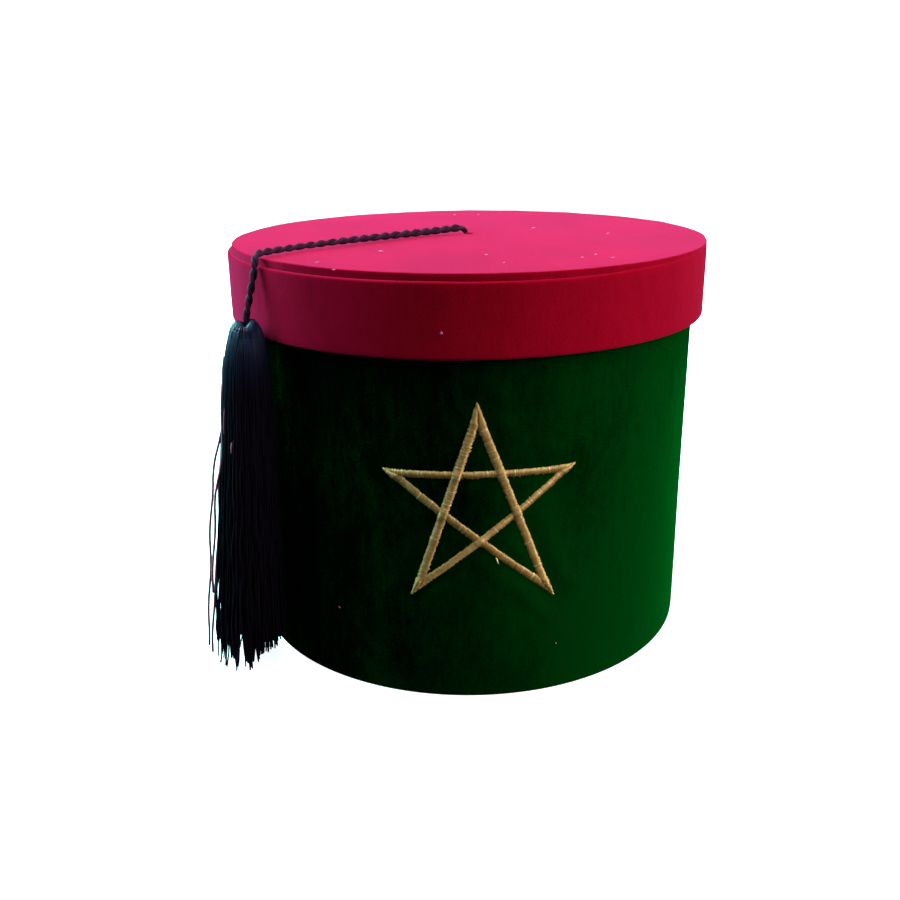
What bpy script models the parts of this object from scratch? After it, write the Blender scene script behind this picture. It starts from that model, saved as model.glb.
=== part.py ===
"""A round velvet-covered box made to look like a fez, with a lift-off lid, a cord and a tassel.

The green box is a board tube with a floor. The red lid is a crowned top plate on a deep rim. A twisted
cord leaves a hole in the middle of the lid, lies across the top, bends over the edge and carries a long
tassel beside the box. A gold star is stitched on the front.

Metres, +Z up. The star faces -Y. The origin is the middle of the base, on the ground.
"""

import math

import bmesh
import bpy
from mathutils import Matrix, Vector

MM = 0.001

# Lid
LID_DIAMETER = 200 * MM
OVERALL_HEIGHT = 166 * MM  # ground to the edge of the lid's top
LID_DEPTH = 29 * MM  # edge of the lid's top down to the rim's lower edge
RIM_WALL = 3.2 * MM
RIM_SHOULDER = 1.5 * MM  # radius of the rim's upper outer edge
RIM_HEM = 1.0 * MM  # radius of the rim's lower edges
PLATE_THICKNESS = 2.0 * MM  # velvet-covered plate that shows above the rim
PLATE_SETBACK = 1.0 * MM  # plate's edge, inside the rim's outer face
PLATE_CROWN = 1.2 * MM  # rise of the plate's middle above its edge
PLATE_EDGE = 1.0 * MM  # radius of the plate's upper edge
PLATE_SPIGOT = 2.0 * MM  # board under the plate, inside the rim

# Box
LID_ROOM = 1.3 * MM  # between the rim's inner face and the box
BOX_WALL = 3.0 * MM
BOX_FLOOR = 3.0 * MM
BOX_EDGE = 0.8 * MM  # radius of the wall's outer edges

# Star: its places are along the wall's surface
STAR_WIDTH = 74 * MM
STAR_HEIGHT = 79 * MM
STAR_DROP = 17 * MM  # rim's lower edge down to the star's top
STITCH_WIDTH = 3.3 * MM
STITCH_RISE = 0.9 * MM
STITCH_LAP = 0.5 * MM  # how far two lines of stitches pass the middle of the point where they meet
# name, share of half the width to the right, share of the height
STAR_POINTS = (
    ("top", -0.038, 1.0),
    ("right_foot", 0.78, 0.0),
    ("left_arm", -1.0, 0.666),
    ("right_arm", 0.985, 0.672),
    ("left_foot", -0.725, 0.03),
)

# Cord
CORD_DIAMETER = 2.9 * MM
CORD_HOLE_ROOM = 1.3 * MM  # between the cord and the wall of its hole
KNOT_DIAMETER = 9 * MM
KNOT_STEM = 2.4 * MM  # diameter of the cord's end inside the hole
CORD_SPACING = 0.9  # distance between the tube's points, in diameters
# share of the plate's radius, lift of the cord off the velvet in diameters, azimuth in degrees
CORD_ON_TOP = (
    (0.000, -0.64, -57.0),
    (0.012, -0.19, -57.0),
    (0.033, 0.10, -57.0),
    (0.071, 0.13, -57.0),
    (0.141, 0.07, -57.0),
    (0.263, 0.03, -57.0),
    (0.404, 0.02, -57.4),
    (0.545, 0.02, -57.4),
    (0.687, 0.02, -57.0),
    (0.808, 0.02, -56.3),
    (0.899, 0.02, -55.5),
    (0.960, 0.03, -54.8),
)
# share of the way out from the lid's edge to the tassel's axis, drop below the lid's top as a share of
# the drop to the tassel, azimuth in degrees
CORD_OVER_EDGE = (
    (-0.180, -0.080, -54.0),
    (0.080, -0.036, -53.3),
    (0.210, 0.065, -52.9),
    (0.310, 0.210, -52.8),
    (0.500, 0.430, -52.8),
    (0.690, 0.640, -52.8),
    (0.860, 0.830, -52.8),
    (1.000, 1.000, -52.8),
)

# Tassel
TASSEL_DROP = 22 * MM  # lid's top down to the tassel's top
HEM_CLEARANCE = 3 * MM  # tassel's hem above the ground
TASSEL_AZIMUTH = -52.8  # degrees, where the cord lets it hang
TASSEL_LEAN = -5.2  # degrees of azimuth from the tassel's top to its hem
TASSEL_HEAD = 13.4 * MM  # diameter of the folded-over strands
HEAD_DOME = 0.8  # rise of the head's round top, as a share of the head's radius
TASSEL_NECK = 10 * MM  # diameter under the binding
TASSEL_HEM = 31 * MM  # diameter at the cut ends
NECK_DEPTH = 11.5 * MM  # tassel's top down to the middle of the binding
BINDING_DIAMETER = 1.4 * MM
BINDING_SIDES = 8
LOCK_COUNT = 13
LOCK_START = 0.05  # where a lock leaves the solid middle, as a share of its length
LOCK_SHARE = 0.27  # radius of a lock, as a share of the skirt's
CORE_SHARE = 0.70  # radius of the solid middle, as a share of the skirt's
# share of the length from neck to hem, share of the way from the neck's radius to the hem's
SKIRT_OUTLINE = ((0.0, 0.0), (0.08, 0.26), (0.22, 0.46), (0.45, 0.68), (0.72, 0.88), (1.0, 1.0))
# lengths of the locks in turn, as shares of the skirt's
LOCK_LENGTHS = (1.0, 0.965, 0.985, 0.95, 0.975)
CORE_LENGTH = 0.98  # length of the solid middle, as a share of the skirt's

TOUCH_GAP = 0.3 * MM  # between pieces that touch
TASSEL_ROOM = 0.4 * MM  # between the tassel and the box
ROUND_STEPS = 80  # sides of the box and lid
SMALL_STEPS = 16  # sides of the small round pieces
FILLET_STEPS = 3
MERGE = 0.01 * MM
CORNER_DEGREES = 35  # an edge sharper than this is shaded as a corner
OVERSHOOT = 5 * MM  # how far a cutting shape passes what it cuts

LID_RADIUS = LID_DIAMETER / 2
RIM_INNER = LID_RADIUS - RIM_WALL
RIM_BOTTOM = OVERALL_HEIGHT - LID_DEPTH
PLATE_RADIUS = LID_RADIUS - PLATE_SETBACK
PLATE_UNDERSIDE = OVERALL_HEIGHT - PLATE_THICKNESS
RIM_TOP = PLATE_UNDERSIDE - TOUCH_GAP
SPIGOT_BOTTOM = PLATE_UNDERSIDE - PLATE_SPIGOT
BOX_RADIUS = RIM_INNER - LID_ROOM
WALL_TOP = SPIGOT_BOTTOM - TOUCH_GAP
HOLE_RADIUS = CORD_DIAMETER / 2 + CORD_HOLE_ROOM
STAR_FOOT = RIM_BOTTOM - STAR_DROP - STAR_HEIGHT
TASSEL_LENGTH = OVERALL_HEIGHT - TASSEL_DROP - HEM_CLEARANCE
TASSEL_REACH = LID_RADIUS + TOUCH_GAP + TASSEL_HEAD / 2  # axis of the tassel's top, from the lid's axis
HEM_REACH = BOX_RADIUS + TASSEL_ROOM + TASSEL_HEM / 2  # middle of the hem, from the lid's axis

GREEN_VELVET = ((0.004, 0.075, 0.016), 0.9, 0.0)
RED_VELVET = ((0.42, 0.008, 0.035), 0.9, 0.0)
GREY_BOARD = ((0.50, 0.46, 0.40), 0.85, 0.0)
GOLD_THREAD = ((0.56, 0.42, 0.19), 0.38, 0.35)
BLACK_CORD = ((0.018, 0.014, 0.024), 0.55, 0.0)
BLACK_THREAD = ((0.010, 0.009, 0.017), 0.35, 0.0)


def clear_scene():
    """Removes whatever the scene holds."""
    for obj in list(bpy.data.objects):
        bpy.data.objects.remove(obj)


def collection(name):
    """A new collection in the scene."""
    made = bpy.data.collections.new(name)
    bpy.context.scene.collection.children.link(made)
    return made


def material(name, finish):
    """A Principled material from a colour, a roughness and a metallic value."""
    colour, roughness, metallic = finish
    made = bpy.data.materials.new(name)
    made.use_nodes = True
    shader = made.node_tree.nodes["Principled BSDF"]
    shader.inputs["Base Color"].default_value = (*colour, 1)
    shader.inputs["Roughness"].default_value = roughness
    shader.inputs["Metallic"].default_value = metallic
    return made


def place(name, data, home, finish=None):
    """An object for a mesh or curve, in a collection and with a material."""
    obj = bpy.data.objects.new(name, data)
    home.objects.link(obj)
    if finish:
        data.materials.append(finish)
    return obj


def helper(obj):
    """Marks an object as a guide or cutter that isn't a piece."""
    obj.hide_render = True
    obj.display_type = "WIRE"
    return obj


def direction(azimuth):
    """The level unit vector at an azimuth in degrees: 0 is the front, -Y, and positive turns to +X."""
    angle = math.radians(azimuth)
    return Vector((math.sin(angle), -math.cos(angle), 0))


def between(table, at):
    """The second column of a table, read at a value of the first along straight lines."""
    for (x0, y0), (x1, y1) in zip(table, table[1:]):
        if at <= x1:
            return y0 + (y1 - y0) * (at - x0) / (x1 - x0)
    return table[-1][1]


def filleted(corners):
    """A closed profile whose corners, (radius, height, fillet), are rounded with short arcs."""
    points = []
    count = len(corners)
    for i, (r, z, fillet) in enumerate(corners):
        here = Vector((r, z))
        if fillet == 0:
            points.append(here)
            continue
        before = (Vector(corners[i - 1][:2]) - here).normalized()
        after = (Vector(corners[(i + 1) % count][:2]) - here).normalized()
        half = before.angle(after) / 2
        centre = here + (before + after).normalized() * fillet / math.sin(half)
        start = here + before * fillet / math.tan(half) - centre
        turn = start.angle_signed(here + after * fillet / math.tan(half) - centre)
        for k in range(FILLET_STEPS + 1):
            spun = start.copy()
            spun.rotate(Matrix.Rotation(-turn * k / FILLET_STEPS, 2))
            points.append(centre + spun)
    return points


def turned(name, points, home, finish=None, closed=False, steps=ROUND_STEPS):
    """A shape turned about Z from a profile of (radius, height) that runs down its outer side."""
    edges = [(i, i + 1) for i in range(len(points) - 1)]
    if closed:
        edges.append((len(points) - 1, 0))
    mesh = bpy.data.meshes.new(name)
    mesh.from_pydata([(p[0], 0, p[1]) for p in points], edges, [])
    obj = place(name, mesh, home, finish)
    screw = obj.modifiers.new("turn", "SCREW")
    screw.angle = 2 * math.pi
    screw.steps = screw.render_steps = steps
    screw.use_merge_vertices = True
    screw.merge_threshold = MERGE
    return frozen(obj)


def frozen(obj):
    """The object made a plain mesh, from its modifiers or curve, and shaded smooth but for its corners."""
    bpy.context.view_layer.update()
    graph = bpy.context.evaluated_depsgraph_get()
    mesh = bpy.data.meshes.new_from_object(obj.evaluated_get(graph))
    work = bmesh.new()
    work.from_mesh(mesh)
    bmesh.ops.remove_doubles(work, verts=work.verts, dist=MERGE)
    work.to_mesh(mesh)
    work.free()
    mesh.shade_smooth()
    mesh.set_sharp_from_angle(angle=math.radians(CORNER_DEGREES))
    name, place_of, homes = obj.name, obj.matrix_world.copy(), list(obj.users_collection)
    bpy.data.objects.remove(obj)
    made = bpy.data.objects.new(name, mesh)
    made.matrix_world = place_of
    for home in homes:
        home.objects.link(made)
    return made


def combine(obj, other, operation):
    """A Boolean between an object and a helper."""
    modifier = obj.modifiers.new(operation.lower(), "BOOLEAN")
    modifier.operation = operation
    modifier.object = other
    modifier.solver = "EXACT"


def curve_through(points, spacing):
    """Points about a spacing apart on a smooth curve through the given ones."""
    padded = [points[0] * 2 - points[1], *points, points[-1] * 2 - points[-2]]
    fine = []
    per_span = 24
    for a, b, c, d in zip(padded, padded[1:], padded[2:], padded[3:]):
        for k in range(per_span):
            t = k / per_span
            fine.append(
                b
                + (c - a) * (t / 2)
                + (a * 2 - b * 5 + c * 4 - d) * (t * t / 2)
                + (b * 3 - a - c * 3 + d) * (t * t * t / 2)
            )
    fine.append(points[-1])
    lengths = [0.0]
    for a, b in zip(fine, fine[1:]):
        lengths.append(lengths[-1] + (b - a).length)
    count = math.ceil(lengths[-1] / spacing)
    made, i = [], 0
    for k in range(count + 1):
        at = lengths[-1] * k / count
        while i < len(fine) - 2 and lengths[i + 1] < at:
            i += 1
        share = (at - lengths[i]) / max(lengths[i + 1] - lengths[i], 1e-12)
        made.append(fine[i].lerp(fine[i + 1], share))
    return made


def tube(name, points, diameter, home, finish=None, sides=2, widths=None):
    """A round tube along points, with filled ends; widths are shares of the diameter at the points."""
    curve = bpy.data.curves.new(name, "CURVE")
    curve.dimensions = "3D"
    curve.bevel_depth = diameter / 2
    curve.bevel_resolution = sides
    curve.use_fill_caps = True
    spline = curve.splines.new("POLY")
    spline.points.add(len(points) - 1)
    for i, (target, point) in enumerate(zip(spline.points, points)):
        target.co = (*point, 1)
        target.radius = widths[i] if widths else 1
    return place(name, curve, home, finish)


def crown_height(radius):
    """Height of the lid's velvet at a distance from the axis."""
    return OVERALL_HEIGHT + PLATE_CROWN * (1 - min(radius / PLATE_RADIUS, 1) ** 2)


def make_box(home, velvet, board):
    """The tube of the box, covered in velvet, and the board disc that closes its bottom."""
    inner = BOX_RADIUS - BOX_WALL
    wall = [
        (BOX_RADIUS, WALL_TOP, BOX_EDGE),
        (BOX_RADIUS, 0, BOX_EDGE),
        (inner, 0, 0),
        (inner, WALL_TOP, BOX_EDGE),
    ]
    turned("box_wall", filleted(wall), home, velvet, closed=True)
    floor_radius = inner - TOUCH_GAP
    disc = [(0, BOX_FLOOR), (floor_radius, BOX_FLOOR), (floor_radius, 0), (0, 0)]
    turned("box_floor", disc, home, board)


def make_lid(home, velvet):
    """The rim of the lid and the crowned plate that closes it, with the cord's hole in the middle."""
    rim = [
        (LID_RADIUS, RIM_TOP, RIM_SHOULDER),
        (LID_RADIUS, RIM_BOTTOM, RIM_HEM),
        (RIM_INNER, RIM_BOTTOM, RIM_HEM),
        (RIM_INNER, RIM_TOP, 0),
    ]
    turned("lid_rim", filleted(rim), home, velvet, closed=True)
    crown_steps = 6
    spigot_radius = RIM_INNER - TOUCH_GAP
    flat_end = PLATE_RADIUS - PLATE_EDGE
    plate = [(HOLE_RADIUS, crown_height(HOLE_RADIUS), 0)]
    for k in range(1, crown_steps):
        radius = flat_end * k / crown_steps
        plate.append((radius, crown_height(radius), 0))
    plate += [
        (PLATE_RADIUS, OVERALL_HEIGHT, PLATE_EDGE),
        (PLATE_RADIUS, PLATE_UNDERSIDE, 0),
        (spigot_radius, PLATE_UNDERSIDE, 0),
        (spigot_radius, SPIGOT_BOTTOM, 0),
        (HOLE_RADIUS, SPIGOT_BOTTOM, 0),
    ]
    turned("lid_top", filleted(plate), home, velvet, closed=True)


def star_places():
    """The star's five points, as places on a flat front view of the wall."""
    places = []
    for _, across, up in STAR_POINTS:
        along = across * STAR_WIDTH / 2
        places.append(Vector((BOX_RADIUS * math.sin(along / BOX_RADIUS), STAR_FOOT + up * STAR_HEIGHT)))
    return places


def inner_end(point, other, third, inward):
    """Where a line's inner edge ends at one of the star's points, just past the middle of that point."""
    ahead = (other - point).normalized()
    half = ahead.angle((third - point).normalized()) / 2
    along = STITCH_WIDTH / math.tan(half) - STITCH_LAP
    return point + ahead * along + inward * STITCH_WIDTH


def stitch_line(name, places, i, depth, home):
    """One line of stitches, seen from the front: its outer edge runs from point to point of the star."""
    before, start, end, after = (places[(i + k) % len(places)] for k in (-1, 0, 1, 2))
    ahead = (end - start).normalized()
    inward = Vector((-ahead.y, ahead.x))
    middle = sum(places, Vector((0, 0))) / len(places)
    if inward.dot(middle - start) < 0:
        inward = -inward
    outline = [start, end, inner_end(end, start, after, inward), inner_end(start, end, before, inward)]
    curve = bpy.data.curves.new(name, "CURVE")
    curve.dimensions = "2D"
    curve.fill_mode = "BOTH"
    curve.extrude = depth / 2
    spline = curve.splines.new("POLY")
    spline.use_cyclic_u = True
    spline.points.add(len(outline) - 1)
    for target, point in zip(spline.points, outline):
        target.co = (point.x, point.y, 0, 1)
    obj = place(name, curve, home)
    obj.matrix_world = Matrix.Translation((0, -BOX_RADIUS, 0)) @ Matrix.Rotation(math.pi / 2, 4, "X")
    return frozen(obj)


def make_star(home, helpers, thread):
    """The stitched star: five crossing lines cut to a thin layer that follows the wall."""
    places = star_places()
    sag = BOX_RADIUS * (1 - math.cos(STAR_WIDTH / 2 / BOX_RADIUS))
    depth = 2 * (sag + OVERSHOOT)
    lines = [stitch_line(f"stitch_line_{i + 1}", places, i, depth, helpers) for i in range(len(places))]
    back = BOX_RADIUS + TOUCH_GAP
    front = back + STITCH_RISE
    low, high = STAR_FOOT - OVERSHOOT, STAR_FOOT + STAR_HEIGHT + OVERSHOOT
    section = [(front, high), (front, low), (back, low), (back, high)]
    layer = turned("stitch_layer", section, helpers, closed=True)
    star, others = lines[0], lines[1:]
    helpers.objects.unlink(star)
    home.objects.link(star)
    star.name = "star_embroidery"
    star.data.materials.append(thread)
    for line in others:
        combine(star, helper(line), "UNION")
    combine(star, helper(layer), "INTERSECT")


def cord_route():
    """The chosen points of the cord's middle line, from its hole to the tassel."""
    points = []
    for share, lift, azimuth in CORD_ON_TOP:
        reach = share * PLATE_RADIUS
        height = crown_height(reach) + TOUCH_GAP + CORD_DIAMETER * (0.5 + lift)
        points.append(direction(azimuth) * reach + Vector((0, 0, height)))
    for out, drop, azimuth in CORD_OVER_EDGE:
        reach = LID_RADIUS + out * (TASSEL_REACH - LID_RADIUS)
        height = OVERALL_HEIGHT - drop * (TASSEL_DROP - TOUCH_GAP)
        points.append(direction(azimuth) * reach + Vector((0, 0, height)))
    return points


def make_cord(home, finish):
    """The tassel's cord, and the hidden knot that holds its end under the lid."""
    points = curve_through(cord_route(), CORD_SPACING * CORD_DIAMETER)
    tube("tassel_cord", points, CORD_DIAMETER, home, finish)
    stem = KNOT_STEM / 2
    stem_top = points[0].z - CORD_DIAMETER / 2
    ball = KNOT_DIAMETER / 2
    ball_middle = SPIGOT_BOTTOM - TOUCH_GAP - ball
    profile = [(0, stem_top), (stem, stem_top)]
    first = math.asin(stem / ball)
    steps = SMALL_STEPS // 2
    for k in range(steps + 1):
        angle = first + (math.pi - first) * k / steps
        profile.append((ball * math.sin(angle), ball_middle + ball * math.cos(angle)))
    turned("cord_knot", profile, home, finish, steps=SMALL_STEPS)


def skirt_radius(share):
    """Radius of the tassel's skirt at a share of its length from the neck."""
    neck, hem = TASSEL_NECK / 2, TASSEL_HEM / 2
    return neck + (hem - neck) * between(SKIRT_OUTLINE, share)


def tassel_place():
    """The matrix that hangs the tassel, made along -Z from the origin, from the cord's end."""
    top = direction(TASSEL_AZIMUTH) * TASSEL_REACH + Vector((0, 0, OVERALL_HEIGHT - TASSEL_DROP))
    hem = direction(TASSEL_AZIMUTH + TASSEL_LEAN) * HEM_REACH + Vector((0, 0, top.z - TASSEL_LENGTH))
    turn = Vector((0, 0, -1)).rotation_difference(hem - top)
    return Matrix.Translation(top) @ turn.to_matrix().to_4x4()


def make_tassel(home, helpers, thread):
    """The tassel: a folded head and a solid middle, with a ring of locks fused to it, and its binding."""
    head, neck = TASSEL_HEAD / 2, TASSEL_NECK / 2
    skirt = TASSEL_LENGTH - NECK_DEPTH
    profile = [(0, 0)]
    for degrees in (30, 52, 72, 90):
        angle = math.radians(degrees)
        profile.append((head * math.sin(angle), head * HEAD_DOME * (math.cos(angle) - 1)))
    half_waist = BINDING_DIAMETER / 2 + TOUCH_GAP
    profile += [
        (head, -NECK_DEPTH + half_waist + BINDING_DIAMETER),
        (neck, -NECK_DEPTH + half_waist),
        (neck, -NECK_DEPTH - half_waist),
    ]
    for share, _ in SKIRT_OUTLINE[1:]:
        at = share * CORE_LENGTH
        profile.append((CORE_SHARE * skirt_radius(at), -NECK_DEPTH - at * skirt))
    profile.append((0, profile[-1][1]))
    tassel = turned("tassel", profile, home, thread, steps=SMALL_STEPS)
    hang = tassel_place()
    tassel.matrix_world = hang
    for i in range(LOCK_COUNT):
        angle = 2 * math.pi * i / LOCK_COUNT
        outward = Vector((math.cos(angle), math.sin(angle), 0))
        length = LOCK_LENGTHS[i % len(LOCK_LENGTHS)]
        points, widths = [], []
        for share, _ in SKIRT_OUTLINE:
            at = length * (LOCK_START + (1 - LOCK_START) * share)
            radius = skirt_radius(at)
            points.append(outward * radius * (1 - LOCK_SHARE) + Vector((0, 0, -NECK_DEPTH - at * skirt)))
            widths.append(radius / (TASSEL_HEM / 2))
        lock = tube(f"lock_{i + 1}", points, LOCK_SHARE * TASSEL_HEM, helpers, sides=1, widths=widths)
        lock.matrix_world = hang
        combine(tassel, helper(frozen(lock)), "UNION")
    ring = neck + TOUCH_GAP + BINDING_DIAMETER / 2
    thread_radius = BINDING_DIAMETER / 2
    loop = [
        (ring + thread_radius * math.cos(a), -NECK_DEPTH - thread_radius * math.sin(a))
        for a in (2 * math.pi * k / BINDING_SIDES for k in range(BINDING_SIDES))
    ]
    binding = turned("tassel_binding", loop, home, thread, closed=True, steps=SMALL_STEPS * 2)
    binding.matrix_world = hang


def main():
    """Builds the box at rest, with its lid on."""
    clear_scene()
    home = collection("fez_box")
    helpers = collection("cutters")
    red = material("red_velvet", RED_VELVET)
    green = material("green_velvet", GREEN_VELVET)
    black = material("black_thread", BLACK_THREAD)
    cord = material("black_cord", BLACK_CORD)
    make_box(home, green, material("grey_board", GREY_BOARD))
    make_star(home, helpers, material("gold_thread", GOLD_THREAD))
    make_lid(home, red)
    make_cord(home, cord)
    make_tassel(home, helpers, black)


main()
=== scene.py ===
"""Dresses the fez-shaped box: velvet covers, a stitched star, a twisted cord and a tassel.

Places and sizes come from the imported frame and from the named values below. Metres, +Z up, and the star
faces -Y. An azimuth goes round the box's axis in degrees: 0 is the front, and it grows towards +X.
"""

import logging
import math
import random
from dataclasses import dataclass, field
from enum import Enum
from typing import Callable, Sequence

import bpy
import numpy as np
from mathutils import Matrix, Vector


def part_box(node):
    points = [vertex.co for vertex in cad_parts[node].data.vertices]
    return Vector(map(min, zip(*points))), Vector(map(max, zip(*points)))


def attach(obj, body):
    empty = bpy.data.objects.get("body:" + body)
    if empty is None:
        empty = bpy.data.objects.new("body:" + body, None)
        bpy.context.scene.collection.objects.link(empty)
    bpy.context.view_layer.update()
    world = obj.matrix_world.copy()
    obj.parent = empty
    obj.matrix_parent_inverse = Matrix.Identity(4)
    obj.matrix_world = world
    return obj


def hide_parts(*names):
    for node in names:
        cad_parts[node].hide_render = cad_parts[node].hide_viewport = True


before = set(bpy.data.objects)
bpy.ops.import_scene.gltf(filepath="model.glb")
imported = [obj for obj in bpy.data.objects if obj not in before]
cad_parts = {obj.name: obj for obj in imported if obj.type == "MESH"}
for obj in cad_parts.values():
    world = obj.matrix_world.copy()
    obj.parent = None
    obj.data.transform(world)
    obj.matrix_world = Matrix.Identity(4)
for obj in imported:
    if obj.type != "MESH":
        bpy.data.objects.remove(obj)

Colour = tuple[float, float, float]
Relief = Callable[[np.ndarray, np.ndarray, np.ndarray], tuple[np.ndarray, np.ndarray]]

MM = 0.001
SEED = 7
TOUCH_GAP = 0.3 * MM  # between pieces that touch
SHADE = "shade"  # the mesh attribute that holds each strand's own shade

log = logging.getLogger("fez_box")


class Body(Enum):
    """The frame's rigid bodies."""

    BOX = "box"
    LID = "lid"


class Slot(Enum):
    """The names of the material slots."""

    GREEN_VELVET = "green_velvet"
    RED_VELVET = "red_velvet"
    BOARD = "board"
    GOLD_THREAD = "gold_thread"
    BLACK_CORD = "black_cord"
    BLACK_THREAD = "black_thread"


def direction(azimuth: float) -> Vector:
    """The level unit vector at an azimuth in degrees."""
    angle = math.radians(azimuth)
    return Vector((math.sin(angle), -math.cos(angle), 0))


def around(azimuth: np.ndarray, radius: np.ndarray, height: np.ndarray) -> np.ndarray:
    """Points in space from azimuths in degrees, distances from the axis and heights."""
    angle = np.radians(azimuth)
    return np.stack((radius * np.sin(angle), -radius * np.cos(angle), height), axis=1)


def soft_step(low: float, high: float, value: np.ndarray | float) -> np.ndarray | float:
    """A smooth rise from 0 at low to 1 at high.

    Args:
        low: The value at which the rise starts.
        high: The value at which it ends, which may be below low.
        value: A number or an array of numbers.

    Returns:
        The share of the rise, in the same form as value.
    """
    share = np.clip((value - low) / (high - low), 0.0, 1.0)
    return share * share * (3 - 2 * share)


def lattice_slopes(lattice: np.ndarray) -> np.ndarray:
    """A repeatable random direction for each whole-numbered place in space.

    Args:
        lattice: The places, three whole numbers each.

    Returns:
        Three numbers between -1 and 1 for each place.
    """
    mixed = lattice[:, 0] * 73856093 ^ lattice[:, 1] * 19349663 ^ lattice[:, 2] * 83492791
    slopes = []
    for turn in (2654435761, 2246822519, 3266489917):
        mixed = (mixed ^ (mixed >> 15)) * turn & 0xFFFFFFFF
        slopes.append(((mixed >> 8) & 0xFFFF) / 32767.5 - 1)
    return np.stack(slopes, axis=1)


def field_noise(points: np.ndarray, cell: float, offset: float = 0.0) -> np.ndarray:
    """Smooth noise between about -1 and 1 at points in space.

    Args:
        points: An array of points, three numbers each.
        cell: The size of the noise's features.
        offset: Shifts the noise, so that two fields differ.

    Returns:
        One number for each point.
    """
    place = points / cell + np.array((offset, 1.7 * offset, -0.6 * offset)) + 64.0
    lattice = np.floor(place).astype(np.int64)
    within = place - lattice
    ease = within**3 * (within * (within * 6 - 15) + 10)
    total = np.zeros(len(points))
    for corner in ((i, j, k) for i in (0, 1) for j in (0, 1) for k in (0, 1)):
        step = np.array(corner)
        weight = np.prod(np.where(step, ease, 1 - ease), axis=1)
        total += weight * (lattice_slopes(lattice + step) * (within - step)).sum(axis=1)
    return total * 1.6


def curve_through(points: Sequence[Vector], spacing: float) -> np.ndarray:
    """Points at even steps on a smooth curve through the given ones.

    Args:
        points: The points to pass through.
        spacing: About how far apart the new points are.

    Returns:
        The new points, from the first given one to the last.
    """
    padded = [points[0] * 2 - points[1], *points, points[-1] * 2 - points[-2]]
    per_span = 24
    fine = []
    for a, b, c, d in zip(padded, padded[1:], padded[2:], padded[3:]):
        for k in range(per_span):
            t = k / per_span
            fine.append(
                b
                + (c - a) * (t / 2)
                + (a * 2 - b * 5 + c * 4 - d) * (t * t / 2)
                + (b * 3 - a - c * 3 + d) * (t * t * t / 2)
            )
    fine.append(points[-1])
    dense = np.array(fine)
    along = np.concatenate(([0.0], np.cumsum(np.linalg.norm(np.diff(dense, axis=0), axis=1))))
    steps = np.linspace(0.0, along[-1], math.ceil(along[-1] / spacing) + 1)
    return np.stack([np.interp(steps, along, dense[:, k]) for k in range(3)], axis=1)


def length_of(path: np.ndarray) -> float:
    """The length of a path of points."""
    return float(np.linalg.norm(np.diff(path, axis=0), axis=1).sum())


def unit(vectors: np.ndarray) -> np.ndarray:
    """Vectors scaled to a length of one."""
    return vectors / np.maximum(np.linalg.norm(vectors, axis=-1, keepdims=True), 1e-12)


def make_object(name: str, data: bpy.types.Mesh, finish: bpy.types.Material) -> bpy.types.Object:
    """An object in the scene for a mesh, with its finish."""
    data.materials.append(finish)
    made = bpy.data.objects.new(name, data)
    bpy.context.scene.collection.objects.link(made)
    return made


def finish_node(node: str, finish: bpy.types.Material) -> None:
    """Gives a node of the frame that stays in sight its finish."""
    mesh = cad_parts[node].data
    mesh.materials.clear()
    mesh.materials.append(finish)


def settle(piece: bpy.types.Object, body: Body, stands_for: Sequence[str] = ()) -> None:
    """Ties a piece to its body and to the nodes that it stands for.

    Args:
        piece: The finished piece, in place.
        body: The body that it moves with.
        stands_for: The nodes that it replaces.
    """
    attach(piece, body.value)
    for node in stands_for:
        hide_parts(node)
    log.info("%s: %d faces, on the %s", piece.name, len(piece.data.polygons), body.value)


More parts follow.
